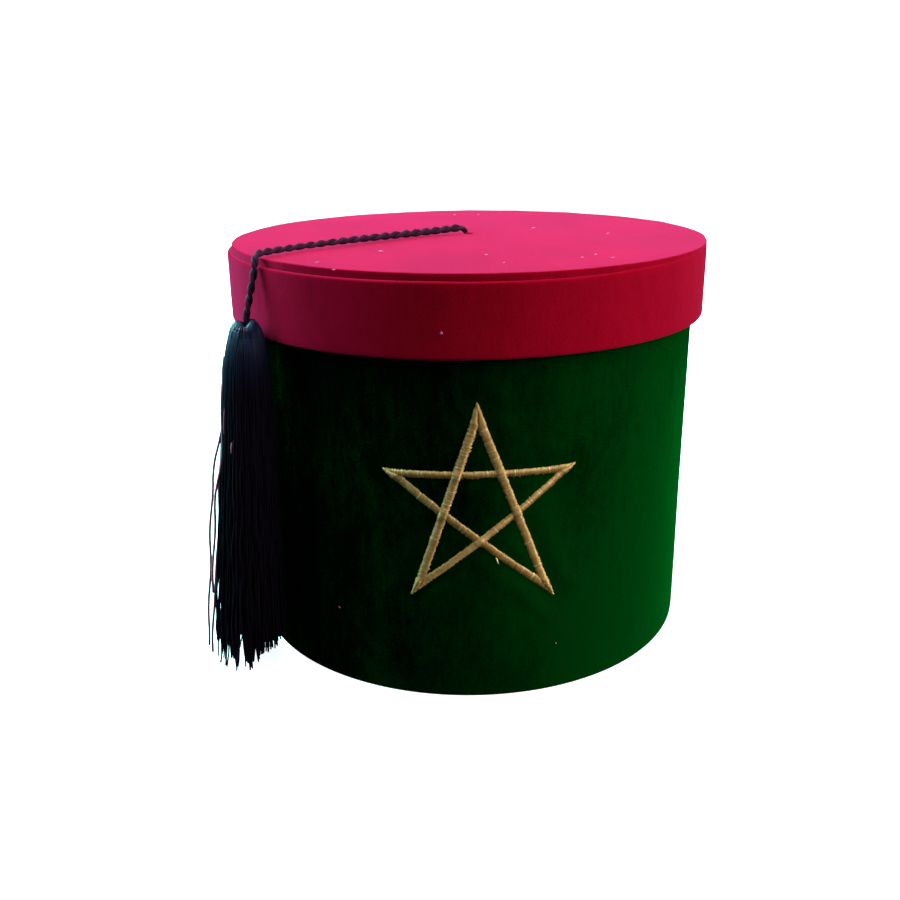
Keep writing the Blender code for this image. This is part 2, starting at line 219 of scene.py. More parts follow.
class TubeBundle:
    """Many thin tubes gathered into one mesh, each with its own shade."""

    def __init__(self) -> None:
        """Starts with no tubes."""
        self.points: list[np.ndarray] = []
        self.faces: list[tuple[int, ...]] = []
        self.shades: list[np.ndarray] = []
        self.count = 0

    def add(
        self,
        path: np.ndarray,
        radius: np.ndarray | float,
        reference: np.ndarray,
        sides: int,
        shade: float = 0.5,
        lobes: int = 0,
        lobe_depth: float = 0.0,
        lobe_turn: np.ndarray | float = 0.0,
    ) -> None:
        """Adds a tube with closed ends.

        Args:
            path: The middle line's points.
            radius: The tube's radius, or one for each point.
            reference: A vector that the path never runs along, or one for each point.
            sides: How many sides the tube has.
            shade: A number from 0 to 1 that the finish may read.
            lobes: How many ridges run along the tube.
            lobe_depth: The ridges' height as a share of the radius.
            lobe_turn: The ridges' turn round the tube at each point, in radians.
        """
        rings = len(path)
        ahead = unit(np.gradient(path, axis=0))
        across = unit(np.cross(ahead, reference))
        up = np.cross(across, ahead)
        angles = np.linspace(0, 2 * np.pi, sides, endpoint=False)[None, :]
        turn = np.broadcast_to(np.asarray(lobe_turn, float), (rings,))[:, None]
        width = np.broadcast_to(np.asarray(radius, float), (rings,))[:, None]
        width = width * (1 + lobe_depth * np.cos(lobes * angles + turn))
        offset = (
            across[:, None, :] * (width * np.cos(angles))[:, :, None]
            + up[:, None, :] * (width * np.sin(angles))[:, :, None]
        )
        wall = (path[:, None, :] + offset).reshape(-1, 3)
        self.points.append(np.concatenate((wall, path[:1], path[-1:])))
        first = self.count
        for i in range(rings - 1):
            row, following = first + i * sides, first + (i + 1) * sides
            for k in range(sides):
                n = (k + 1) % sides
                self.faces.append((row + k, row + n, following + n, following + k))
        start, end = first + rings * sides, first + rings * sides + 1
        last = first + (rings - 1) * sides
        for k in range(sides):
            n = (k + 1) % sides
            self.faces.append((start, first + n, first + k))
            self.faces.append((end, last + k, last + n))
        added = rings * sides + 2
        self.shades.append(np.full(added, shade))
        self.count += added

    def piece(self, name: str, finish: bpy.types.Material) -> bpy.types.Object:
        """The gathered tubes as one object."""
        mesh = bpy.data.meshes.new(name)
        mesh.from_pydata(np.concatenate(self.points).tolist(), [], self.faces)
        mesh.shade_smooth()
        shades = mesh.attributes.new(SHADE, "FLOAT", "POINT")
        shades.data.foreach_set("value", np.concatenate(self.shades).astype(np.float32))
        return make_object(name, mesh, finish)


def rounded_profile(corners: Sequence[tuple[float, float, float]], spacing: float) -> np.ndarray:
    """A closed profile with rounded corners and evenly divided straight runs.

    Args:
        corners: Radius, height and rounding of each corner, down the outer side and back up the inner one.
        spacing: The longest step between two points of the profile.

    Returns:
        The profile's points, as radius and height.
    """
    arc_steps = 6
    points: list[np.ndarray] = []
    count = len(corners)
    for i, (radius, height, rounding) in enumerate(corners):
        here = np.array((radius, height))
        if rounding == 0:
            points.append(here)
            continue
        before = unit(np.array(corners[i - 1][:2]) - here)
        after = unit(np.array(corners[(i + 1) % count][:2]) - here)
        half = math.acos(float(np.clip(before @ after, -1, 1))) / 2
        middle = here + unit(before + after) * rounding / math.sin(half)
        first = here + before * rounding / math.tan(half) - middle
        last = here + after * rounding / math.tan(half) - middle
        sweep = math.atan2(first[0] * last[1] - first[1] * last[0], first @ last)
        for k in range(arc_steps + 1):
            turn = sweep * k / arc_steps
            cos, sin = math.cos(turn), math.sin(turn)
            turned = (first[0] * cos - first[1] * sin, first[0] * sin + first[1] * cos)
            points.append(middle + np.array(turned))
    divided: list[np.ndarray] = []
    for a, b in zip(points, points[1:] + points[:1]):
        parts = max(1, math.ceil(np.linalg.norm(b - a) / spacing))
        divided += [a + (b - a) * k / parts for k in range(parts)]
    return np.array(divided)


def turned_shell(
    name: str,
    profile: np.ndarray,
    segments: int,
    finish: bpy.types.Material,
    relief: Relief | None = None,
    centre: Vector = Vector((0, 0, 0)),
) -> bpy.types.Object:
    """A shell turned about an upright axis from a closed profile.

    Args:
        name: The piece's name.
        profile: Radius and height of the profile's points, down the outer side first.
        segments: How many steps go round the axis.
        finish: The shell's material.
        relief: Gives the change of radius and of height at each azimuth, radius and height.
        centre: Where the axis stands.

    Returns:
        The shell as an object.
    """
    rows = len(profile)
    azimuth = np.repeat(np.linspace(-180, 180, segments, endpoint=False), rows)
    radius = np.tile(profile[:, 0], segments)
    height = np.tile(profile[:, 1], segments)
    if relief:
        outward, upward = relief(azimuth, radius, height)
        radius, height = radius + outward, height + upward
    points = around(azimuth, radius, height) + np.array(centre)
    faces = []
    for i in range(segments):
        here, following = i * rows, (i + 1) % segments * rows
        for j in range(rows):
            n = (j + 1) % rows
            faces.append((here + j, here + n, following + n, following + j))
    mesh = bpy.data.meshes.new(name)
    mesh.from_pydata(points.tolist(), [], faces)
    mesh.shade_smooth()
    return make_object(name, mesh, finish)


def turn_board(
    name: str,
    body: Body,
    corners: Sequence[tuple[float, float, float]],
    finish: bpy.types.Material,
    row: float = 12 * MM,
) -> None:
    """Turns a plain board and ties it to its body.

    Args:
        name: The piece's name.
        body: The body that it moves with.
        corners: Radius, height and rounding of each corner of its profile.
        finish: The board's material.
        row: The longest step between two points of the profile.
    """
    segments = 128
    settle(turned_shell(name, rounded_profile(corners, row), segments, finish), body)


class NodeBench:
    """A material's node tree, with short calls that add and join nodes."""

    def __init__(self, name: str) -> None:
        """Starts a material with a Principled shader and the piece's own coordinates."""
        self.material = bpy.data.materials.new(name)
        self.material.use_nodes = True
        self.nodes = self.material.node_tree.nodes
        self.links = self.material.node_tree.links
        self.shader = self.nodes["Principled BSDF"]
        self.place = self.nodes.new("ShaderNodeTexCoord").outputs["Object"]

    def constant(self, **values: float | tuple[float, ...]) -> None:
        """Sets sockets of the shader, named with underscores for spaces."""
        for socket, value in values.items():
            self.shader.inputs[socket.replace("_", " ")].default_value = value

    def feed(self, source: bpy.types.NodeSocket, socket: str) -> None:
        """Joins an output to a socket of the shader."""
        self.links.new(source, self.shader.inputs[socket])

    def add(
        self, kind: str, inputs: dict[str | int, object], **settings: str
    ) -> bpy.types.Node:
        """Adds a node.

        Args:
            kind: The node's type, without the prefix that all shader nodes have.
            inputs: For each socket its value, or the output that is joined to it.
            **settings: The node's own settings.

        Returns:
            The new node.
        """
        node = self.nodes.new("ShaderNode" + kind)
        for setting, choice in settings.items():
            setattr(node, setting, choice)
        for socket, given in inputs.items():
            if isinstance(given, bpy.types.NodeSocket):
                self.links.new(given, node.inputs[socket])
            else:
                node.inputs[socket].default_value = given
        return node

    def noise(
        self, cell: float, detail: float = 2.0, stretch: tuple[float, float, float] | None = None
    ) -> bpy.types.NodeSocket:
        """Noise over the piece.

        Args:
            cell: The size of its features, in metres.
            detail: How many finer layers it has.
            stretch: How much longer the features are along each axis.

        Returns:
            The output with numbers round one half.
        """
        place = self.place
        if stretch:
            squeeze = tuple(1 / s for s in stretch)
            place = self.add("Mapping", {"Vector": place, "Scale": squeeze}).outputs["Vector"]
        return self.add("TexNoise", {"Vector": place, "Scale": 1 / cell, "Detail": detail}).outputs["Fac"]

    def shade(self) -> bpy.types.NodeSocket:
        """The shade that each strand of the mesh has."""
        return self.add("Attribute", {}, attribute_name=SHADE).outputs["Fac"]

    def blend(
        self, first: bpy.types.NodeSocket, second: bpy.types.NodeSocket, share: float
    ) -> bpy.types.NodeSocket:
        """Two outputs mixed, with a share of the second."""
        node = self.add("Mix", {"Factor": share, "A": first, "B": second}, data_type="FLOAT")
        return node.outputs["Result"]

    def tint(
        self, first: bpy.types.NodeSocket, second: Colour, share: bpy.types.NodeSocket
    ) -> bpy.types.NodeSocket:
        """A colour output that turns into a given colour as the share rises to 1."""
        # the sockets of a mix of colours go by number, because other kinds of mix share their names
        factor, colour_a, colour_b, result = 0, 6, 7, 2
        inputs = {factor: share, colour_a: first, colour_b: (*second, 1)}
        return self.add("Mix", inputs, data_type="RGBA").outputs[result]

    def ramp(
        self, source: bpy.types.NodeSocket, stops: Sequence[tuple[float, Colour]]
    ) -> bpy.types.NodeSocket:
        """Colours along an output.

        Args:
            source: The output to read.
            stops: Each stop's place from 0 to 1 and its colour.

        Returns:
            The output with the colour.
        """
        node = self.add("ValToRGB", {"Fac": source})
        elements = node.color_ramp.elements
        while len(elements) < len(stops):
            elements.new(0.5)
        for element, (place, colour) in zip(elements, stops):
            element.position = place
            element.color = (*colour, 1)
        return node.outputs["Color"]

    def stretch(
        self, source: bpy.types.NodeSocket, given: tuple[float, float], wanted: tuple[float, float]
    ) -> bpy.types.NodeSocket:
        """Numbers moved from one range to another, and held within it.

        Args:
            source: The output to read.
            given: The range that it has.
            wanted: The range that it gets.

        Returns:
            The output with the new numbers.
        """
        limits = dict(zip(("From Min", "From Max", "To Min", "To Max"), (*given, *wanted)))
        return self.add("MapRange", {"Value": source, **limits}).outputs["Result"]

    def spread(
        self, source: bpy.types.NodeSocket, low: float, high: float
    ) -> bpy.types.NodeSocket:
        """Noise, most of which lies between 0.3 and 0.7, turned into numbers between low and high."""
        return self.stretch(source, (0.3, 0.7), (low, high))

    def lean(self, source: bpy.types.NodeSocket, slope: Colour) -> bpy.types.NodeSocket:
        """An output that also grows along a direction over the piece, from the middle of the box.

        Args:
            source: The output to change.
            slope: How much it grows per metre along each axis.

        Returns:
            The changed output.
        """
        middle = (0.0, 0.0, 70 * MM)
        away = self.add("VectorMath", {0: self.place, 1: middle}, operation="SUBTRACT").outputs["Vector"]
        growth = self.add("VectorMath", {0: away, 1: slope}, operation="DOT_PRODUCT").outputs["Value"]
        return self.add("Math", {0: source, 1: growth}, operation="ADD").outputs["Value"]

    def rise(self, height: float, reach: float, below: float, above: float) -> bpy.types.NodeSocket:
        """A number that changes with height.

        Args:
            height: Where the change is half done.
            reach: How far it takes.
            below: The number under it.
            above: The number over it.

        Returns:
            The output with the number.
        """
        here = self.add("SeparateXYZ", {"Vector": self.place}).outputs["Z"]
        return self.stretch(here, (height - reach / 2, height + reach / 2), (below, above))

    def bump(
        self,
        height: bpy.types.NodeSocket,
        depth: float,
        strength: float = 1.0,
        under: bpy.types.NodeSocket | None = None,
    ) -> bpy.types.NodeSocket:
        """A fine relief.

        Args:
            height: The output that is the relief's height.
            depth: Its depth in metres.
            strength: How strongly it shows.
            under: Another relief that it lies on.

        Returns:
            The output with the normal.
        """
        inputs = {"Strength": strength, "Distance": depth, "Height": height}
        if under:
            inputs["Normal"] = under
        return self.add("Bump", inputs).outputs["Normal"]


@dataclass(frozen=True)
class Velvet:
    """Short dense pile, darker where it is seen end on and paler where it lies over, in random patches; it
    can also be painted paler to the right, as painted light, and darker towards the top, as painted shade.
    """

    name: str
    # the pile's colours where it is seen end on and where it lies over; where a painted lean is set they
    # are also the painted shade and the painted light
    deep: Colour
    brushed: Colour
    sheen: Colour
    sheen_weight: float
    # the sheen weight where the pile is deep, if it differs; with a painted lean this also paints the sheen
    # off the shaded side
    deep_sheen: float | None = None
    sheen_roughness: float = 0.40
    # painted light and shade: how much paler the pile is painted per metre to the right, where the key
    # light falls, and per metre down, away from the shadow under the lid
    painted_light_to_right: float = 0.0
    painted_shade_to_top: float = 0.0
    # the sizes of the cloudy patches, of the combed streaks and of the pile's own grain
    patch: float = 34 * MM
    streak: float = 2.4 * MM
    pile: float = 0.55 * MM
    pile_depth: float = 0.16 * MM

    def make(self) -> bpy.types.Material:
        """The velvet's material."""
        bench = NodeBench(self.name)
        patches = bench.noise(self.patch, 3.0, (1.0, 1.0, 2.2))
        pile = bench.noise(self.pile, 2.0)
        streaks = bench.noise(self.streak, 2.0, (1.0, 1.0, 3.0))
        nap_and_painted_light = bench.blend(bench.blend(patches, streaks, 0.28), pile, 0.30)
        # painted light and shade: the nap is made paler to the right and darker towards the top
        nap_and_painted_light = bench.lean(nap_and_painted_light, (self.painted_light_to_right, 0.0, -self.painted_shade_to_top))
        bench.feed(bench.ramp(nap_and_painted_light, ((0.37, self.deep), (0.65, self.brushed))), "Base Color")
        bench.feed(bench.spread(patches, 0.80, 0.97), "Roughness")
        soft = bench.bump(patches, 0.5 * MM, 0.5)
        combed = bench.bump(streaks, 0.10 * MM, 0.5, soft)
        bench.feed(bench.bump(pile, self.pile_depth, 0.8, combed), "Normal")
        # where a deep sheen is given, the sheen weight follows the nap with its painted light and shade
        if self.deep_sheen is None:
            bench.constant(Sheen_Weight=self.sheen_weight)
        else:
            bench.feed(bench.spread(nap_and_painted_light, self.deep_sheen, self.sheen_weight), "Sheen Weight")
        bench.constant(
            Sheen_Roughness=self.sheen_roughness,
            Sheen_Tint=(*self.sheen, 1),
            Specular_IOR_Level=0.0,
        )
        return bench.material


@dataclass(frozen=True)
class Board:
    """Plain grey board, a little mottled."""

    name: str = "grey_board"
    pale: Colour = (0.56, 0.51, 0.44)
    dark: Colour = (0.40, 0.36, 0.30)

    def make(self) -> bpy.types.Material:
        """The board's material."""
        bench = NodeBench(self.name)
        fibres = bench.noise(1.3 * MM, 4.0, (2.5, 1.0, 1.0))
        mottle = bench.noise(14 * MM, 3.0)
        bench.feed(
            bench.ramp(bench.blend(mottle, fibres, 0.5), ((0.32, self.dark), (0.62, self.pale))),
            "Base Color",
        )
        bench.feed(bench.spread(mottle, 0.78, 0.92), "Roughness")
        bench.feed(bench.bump(fibres, 0.06 * MM, 0.6), "Normal")
        bench.constant(Specular_IOR_Level=0.3)
        return bench.material


@dataclass(frozen=True)
class Thread:
    """Shiny or dull thread, with a shade for each strand."""

    name: str
    dark: Colour
    middle: Colour
    pale: Colour
    roughness: float
    metallic: float = 0.0
    shine: float = 0.5
    fibre: float = 0.18 * MM
    fibre_depth: float = 0.05 * MM
    # the shade, from 0 to 1, at which each colour is reached
    dark_at: float = 0.18
    middle_at: float = 0.5
    pale_at: float = 0.82
    # from this height up the thread has another roughness and shine, and a bluer colour that is painted
    # sheen
    changes_at: float | None = None
    change_reach: float = 12 * MM
    tint_below: float = 6 * MM
    tint_reach: float = 20 * MM
    upper_painted_sheen: Colour = (0.0, 0.0, 0.0)
    upper_roughness: float = 0.3
    upper_shine: float = 0.5

    def make(self) -> bpy.types.Material:
        """The thread's material."""
        bench = NodeBench(self.name)
        fibres = bench.noise(self.fibre, 2.0)
        mixed = bench.blend(bench.shade(), fibres, 0.35)
        stops = ((self.dark_at, self.dark), (self.middle_at, self.middle), (self.pale_at, self.pale))
        colour = bench.ramp(mixed, stops)
        if self.changes_at is None:
            rough = bench.spread(fibres, self.roughness - 0.06, self.roughness + 0.10)
            bench.constant(Specular_IOR_Level=self.shine)
        else:
            rough = bench.rise(self.changes_at, self.change_reach, self.roughness, self.upper_roughness)
            shine = bench.rise(self.changes_at, self.change_reach, self.shine, self.upper_shine)
            bench.feed(shine, "Specular IOR Level")
            # painted sheen: the colour turns bluer towards the top
            share = bench.rise(self.changes_at - self.tint_below, self.tint_reach, 0.0, 1.0)
            colour = bench.tint(colour, self.upper_painted_sheen, share)
        bench.feed(colour, "Base Color")
        bench.feed(rough, "Roughness")
        bench.feed(bench.bump(fibres, self.fibre_depth, 0.6), "Normal")
        bench.constant(Metallic=self.metallic)
        return bench.material


GREEN_VELVET = Velvet(
    name="green_velvet_pile",
    deep=(0.0000, 0.0013, 0.0005),
    brushed=(0.0001, 0.0185, 0.0015),
    sheen=(0.0, 1.0, 0.10),
    sheen_weight=0.22,
    # painted light and shade: the pile is painted paler to the right, where the key light falls, darker on
    # the left and towards the top under the lid, and the sheen is taken off the painted shade
    deep_sheen=0.0,
    painted_light_to_right=2.5,
    painted_shade_to_top=0.6,
)
RED_VELVET = Velvet(
    name="red_velvet_pile",
    deep=(0.165, 0.0005, 0.0062),
    brushed=(0.245, 0.0009, 0.0100),
    sheen=(1.0, 0.080, 0.285),
    sheen_weight=0.33,
)
GOLD_THREAD = Thread(
    name="gold_satin_thread",
    dark=(0.20, 0.108, 0.022),
    middle=(0.40, 0.228, 0.052),
    # pale: the colour of the painted glint threads and of the loose end
    pale=(0.86, 0.66, 0.32),
    roughness=0.26,
    metallic=0.45,
    shine=0.8,
)
BLACK_CORD = Thread(
    name="black_cord_yarn",
    dark=(0.007, 0.0015, 0.006),
    middle=(0.023, 0.0040, 0.016),
    pale=(0.070, 0.0150, 0.046),
    roughness=0.66,
    shine=0.06,
)
BLACK_THREAD = Thread(
    name="black_tassel_thread",
    dark=(0.0014, 0.0008, 0.0026),
    middle=(0.0085, 0.0038, 0.0120),
    # pale: painted light on the loose strands and painted highlight on the short strands that catch the
    # light
    pale=(0.29, 0.10, 0.15),
    roughness=0.60,
    shine=0.05,
    fibre=0.25 * MM,
    middle_at=0.62,
    changes_at=134.0 * MM,
    # painted sheen: the tassel's head is coloured bluer than its skirt
    upper_painted_sheen=(0.0045, 0.0080, 0.0270),
    upper_roughness=0.22,
    upper_shine=0.18,
)
LINT = Thread(
    name="pale_lint",
    dark=(0.56, 0.08, 0.19),
    middle=(0.66, 0.12, 0.26),
    pale=(0.78, 0.20, 0.36),
    roughness=0.8,
    shine=0.2,
)


@dataclass
class StitchLine:
    """One straight line of satin stitch between two points of the star."""

    start: np.ndarray
    end: np.ndarray
    inward: np.ndarray
    start_half: float
    end_half: float
    level: int
    width: float

    @property
    def length(self) -> float:
        """The outer edge's length."""
        return float(np.linalg.norm(self.end - self.start))

    @property
    def ahead(self) -> np.ndarray:
        """The unit vector along the line."""
        return (self.end - self.start) / self.length

    @property
    def middle(self) -> np.ndarray:
        """Where the line's middle starts."""
        return self.start + self.inward * self.width / 2


@dataclass
class Star:
    """The five-pointed star: five lines of satin stitch that pass over and under each other.

    Its places are laid out flat, as a distance round the wall from the front and a height.
    """

    stitch_step: float = 0.25 * MM
    thread_radius: float = 0.17 * MM
    rise: float = 0.62 * MM
    crossing_lift: float = 0.45 * MM
    ragged: float = 0.27 * MM
    # how far the ends of a line are left open, and how far the velvet hides the threads' ends
    open_end: float = 0.25 * MM
    sunk: float = 0.12 * MM
    # a few threads reach further, and a few are much paler: painted glints
    long_share: float = 0.05
    long_by: float = 0.3 * MM
    painted_glint_share: float = 0.02
    painted_glint_shade: float = 0.95
    # the top, right foot, left arm, right arm and left foot: share of half the width to the right,
    # share of the height
    points: tuple[tuple[float, float], ...] = (
        (-0.038, 1.0),
        (0.78, 0.0),
        (-1.0, 0.666),
        (0.985, 0.672),
        (-0.725, 0.03),
    )
    # each line from the one that starts at the top: how high it lies at a crossing, and its width
    strokes: tuple[tuple[int, float], ...] = (
        (3, 3.2 * MM),
        (1, 2.9 * MM),
        (0, 2.5 * MM),
        (2, 2.6 * MM),
        (3, 3.2 * MM),
    )
    half_width: float = 37 * MM
    radius: float = 0.0
    lines: list[StitchLine] = field(default_factory=list)

    def __post_init__(self) -> None:
        """Lays the five lines out from the frame's sizes."""
        low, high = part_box("star_embroidery")
        self.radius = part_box("box_wall")[1].x
        height = high.z - low.z
        places = [np.array((across * self.half_width, low.z + up * height)) for across, up in self.points]
        middle = sum(places) / len(places)
        count = len(places)
        for i, (level, width) in enumerate(self.strokes):
            before, start, end, after = (places[(i + k) % count] for k in (-1, 0, 1, 2))
            ahead = unit(end - start)
            inward = np.array((-ahead[1], ahead[0]))
            if inward @ (middle - start) < 0:
                inward = -inward
            start_half = math.acos(float(ahead @ unit(before - start))) / 2
            end_half = math.acos(float(-ahead @ unit(after - end))) / 2
            self.lines.append(StitchLine(start, end, inward, start_half, end_half, level, width))

    def distance(self, along: np.ndarray, height: np.ndarray) -> np.ndarray:
        """How far places on the wall are from the nearest line of stitches.

        Args:
            along: Each place's distance round the wall from the front.
            height: Its height.

        Returns:
            The distance to the edge of the nearest line, 0 under the stitches.
        """
        nearest = np.full(along.shape, 1.0)
        for line in self.lines:
            reach = np.stack((along - line.middle[0], height - line.middle[1]), axis=-1)
            t = np.clip(reach @ line.ahead, 0, line.length)
            gap = np.linalg.norm(reach - t[..., None] * line.ahead, axis=-1) - line.width / 2
            nearest = np.minimum(nearest, gap)
        return np.maximum(nearest, 0)

    def dent(self, along: np.ndarray, height: np.ndarray) -> np.ndarray:
        """How far the velvet stands out at places on the wall, pulled in at the stitches."""
        gap = self.distance(along, height)
        unevenness = field_noise(np.stack((along, height, gap * 0), axis=-1), 9 * MM, 3.0)
        pulled = np.exp(-((gap / (2.6 * MM)) ** 2)) * 0.45 * MM
        puffed = np.exp(-(((gap - 6.5 * MM) / (3.2 * MM)) ** 2)) * 0.38 * MM * (1 + 1.1 * unevenness)
        return puffed - pulled

    def lift(self, line: StitchLine, at: float) -> float:
        """How much higher a line lies where it passes over lower ones, at a distance along it."""
        raised = 0.0
        least_steep = 0.2
        for other in self.lines:
            if other.level >= line.level:
                continue
            across = np.array((-other.ahead[1], other.ahead[0]))
            steep = max(abs(float(line.ahead @ across)), least_steep)
            place = line.middle + line.ahead * at - other.middle
            gap = abs(float(place @ across)) / steep
            if 0 < float(place @ other.ahead) < other.length:
                reach = other.width / 2 / steep
                raised = max(raised, float(soft_step(reach + 1.3 * MM, reach - 0.6 * MM, gap)))
        return raised * self.crossing_lift

    def on_wall(self, place: np.ndarray, out: float) -> np.ndarray:
        """The point in space over a flat place, at a distance out from the wall."""
        angle = place[0] / self.radius
        reach = self.radius + out
        return np.array((reach * math.sin(angle), -reach * math.cos(angle), place[1]))

    def build(self, finish: bpy.types.Material) -> None:
        """Sews the star, one thread after another."""
        rng = random.Random(SEED)
        bundle = TubeBundle()
        for line in self.lines:
            self.sew(line, bundle, rng)
        self.add_loose_end(bundle)
        settle(bundle.piece("star_stitches", finish), Body.BOX, ["star_embroidery"])

    def add_loose_end(self, bundle: TubeBundle) -> None:
        """Adds the short loose end of thread under the star's lower crossing."""
        places = ((5.5, 59.6, 0.2), (5.9, 59.0, 0.7), (6.1, 58.2, 0.9), (6.4, 57.4, 0.7))
        path = np.array([self.on_wall(np.array((s, z)) * MM, out * MM) for s, z, out in places])
        bundle.add(path, 0.24 * MM, np.array((1.0, 0, 0)), 6, 1.0)

    def sew(self, line: StitchLine, bundle: TubeBundle, rng: random.Random) -> None:
        """Adds one line's threads to the bundle.

        Args:
            line: The line to sew.
            bundle: Gathers the threads.
            rng: The source of small differences between the threads.
        """
        shares = np.array((0.0, 0.06, 0.2, 0.4, 0.6, 0.8, 0.94, 1.0))
        arch = np.sqrt(np.clip(1 - (2 * shares - 1) ** 2, 0, 1))
        shortest = 0.3 * MM
        at = 0.3 * MM
        while at < line.length - self.open_end:
            room = min(
                line.width,
                at * math.tan(line.start_half) + self.open_end,
                (line.length - at) * math.tan(line.end_half) + self.open_end,
            )
            low = rng.uniform(-1, 1) * self.ragged
            high = room + rng.uniform(-1, 1) * self.ragged
            if rng.random() < self.long_share:
                high += self.long_by
            if high - low > shortest:
                slant = rng.uniform(0.0, 0.3) * MM
                crown = self.rise * min(1.0, 0.35 + room / line.width) * rng.uniform(0.96, 1.03)
                lift = self.lift(line, at)
                flat = (
                    line.start
                    + line.ahead * (at + slant * (shares[:, None] - 0.5))
                    + line.inward * (low + (high - low) * shares[:, None])
                )
                out = self.dent(flat[:, 0], flat[:, 1]) + lift + crown * arch - self.sunk
                path = np.array([self.on_wall(place, height) for place, height in zip(flat, out)])
                angle = line.start[0] / self.radius
                level, up = line.ahead
                along = np.array((level * math.cos(angle), level * math.sin(angle), up))
                radius = self.thread_radius * rng.uniform(0.9, 1.08)
                # painted glints: a few threads get the pale shade
                shade = self.painted_glint_shade if rng.random() < self.painted_glint_share else rng.betavariate(18, 18)
                bundle.add(path, radius, along, 6, shade)
            at += self.stitch_step * rng.uniform(0.85, 1.15)


@dataclass(frozen=True)
class LappedSeam:
    """Where a cover's end lies over its start: a step at one azimuth that fades out round the shell."""

    azimuth: float
    step: float
    run: float

    def push(self, azimuth: np.ndarray) -> np.ndarray:
        """How far the seam pushes the cover out, at azimuths in degrees."""
        return self.step * soft_step(self.run, 0.0, (azimuth - self.azimuth) % 360)


@dataclass
class GreenBox:
    """The box's board tube and its velvet cover, which is turned in at the top."""

    star: Star
    cover: float = 0.9 * MM
    turned_in: float = 15 * MM
    segments: int = 384
    row: float = 1.5 * MM
    wobble: float = 0.16 * MM
    seam: LappedSeam = LappedSeam(172.0, 0.45 * MM, 16.0)

    def relief(
        self, azimuth: np.ndarray, radius: np.ndarray, height: np.ndarray
    ) -> tuple[np.ndarray, np.ndarray]:
        """The cover's small unevenness: the star's puckers, the lapped seam and soft waves."""
        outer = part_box("box_wall")[1].x
        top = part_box("box_wall")[1].z
        worn = soft_step(outer - 0.5 * MM, outer - 0.05 * MM, radius)
        worn = worn * soft_step(0.0, 3 * MM, height) * soft_step(top, top - 4 * MM, height)
        points = around(azimuth, radius, height)
        push = field_noise(points * np.array((1, 1, 0.5)), 38 * MM) * self.wobble
        push = push + field_noise(points, 11 * MM, 5.0) * 0.05 * MM
        push = push + self.star.dent(np.radians(azimuth) * outer, height)
        push = push + self.seam.push(azimuth)
        return (push + 0.12 * MM) * worn, np.zeros_like(push)

    def build(self, velvet: bpy.types.Material, board: bpy.types.Material) -> None:
        """Makes the cover and the tube, and finishes the floor."""
        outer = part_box("box_wall")[1].x
        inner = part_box("box_floor")[1].x + TOUCH_GAP
        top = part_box("box_wall")[1].z
        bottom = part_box("box_wall")[0].z
        lap_bottom = top - self.turned_in
        cover = (
            (outer, top, 0.9 * MM),
            (outer, bottom, 1.1 * MM),
            (outer - 2.2 * MM, bottom, 0.3 * MM),
            (outer - 2.2 * MM, bottom + 0.7 * MM, 0.2 * MM),
            (outer - self.cover, bottom + 0.7 * MM, 0),
            (outer - self.cover, top - self.cover, 0),
            (inner + self.cover, top - self.cover, 0),
            (inner + self.cover, lap_bottom, 0.2 * MM),
            (inner, lap_bottom, 0.3 * MM),
            (inner, top, 0.8 * MM),
        )
        wall = turned_shell(
            "wall_velvet", rounded_profile(cover, self.row), self.segments, velvet, self.relief
        )
        settle(wall, Body.BOX, ["box_wall"])
        slack = 0.1 * MM
        tube = (
            (outer - self.cover - slack, top - self.cover - slack, 0),
            (outer - self.cover - slack, bottom + 0.8 * MM, 0),
            (inner, bottom + 0.8 * MM, 0),
            (inner, lap_bottom - slack, 0),
            (inner + self.cover + slack, lap_bottom - slack, 0),
            (inner + self.cover + slack, top - self.cover - slack, 0),
        )
        turn_board("wall_board", Body.BOX, tube, board)
        finish_node("box_floor", board)


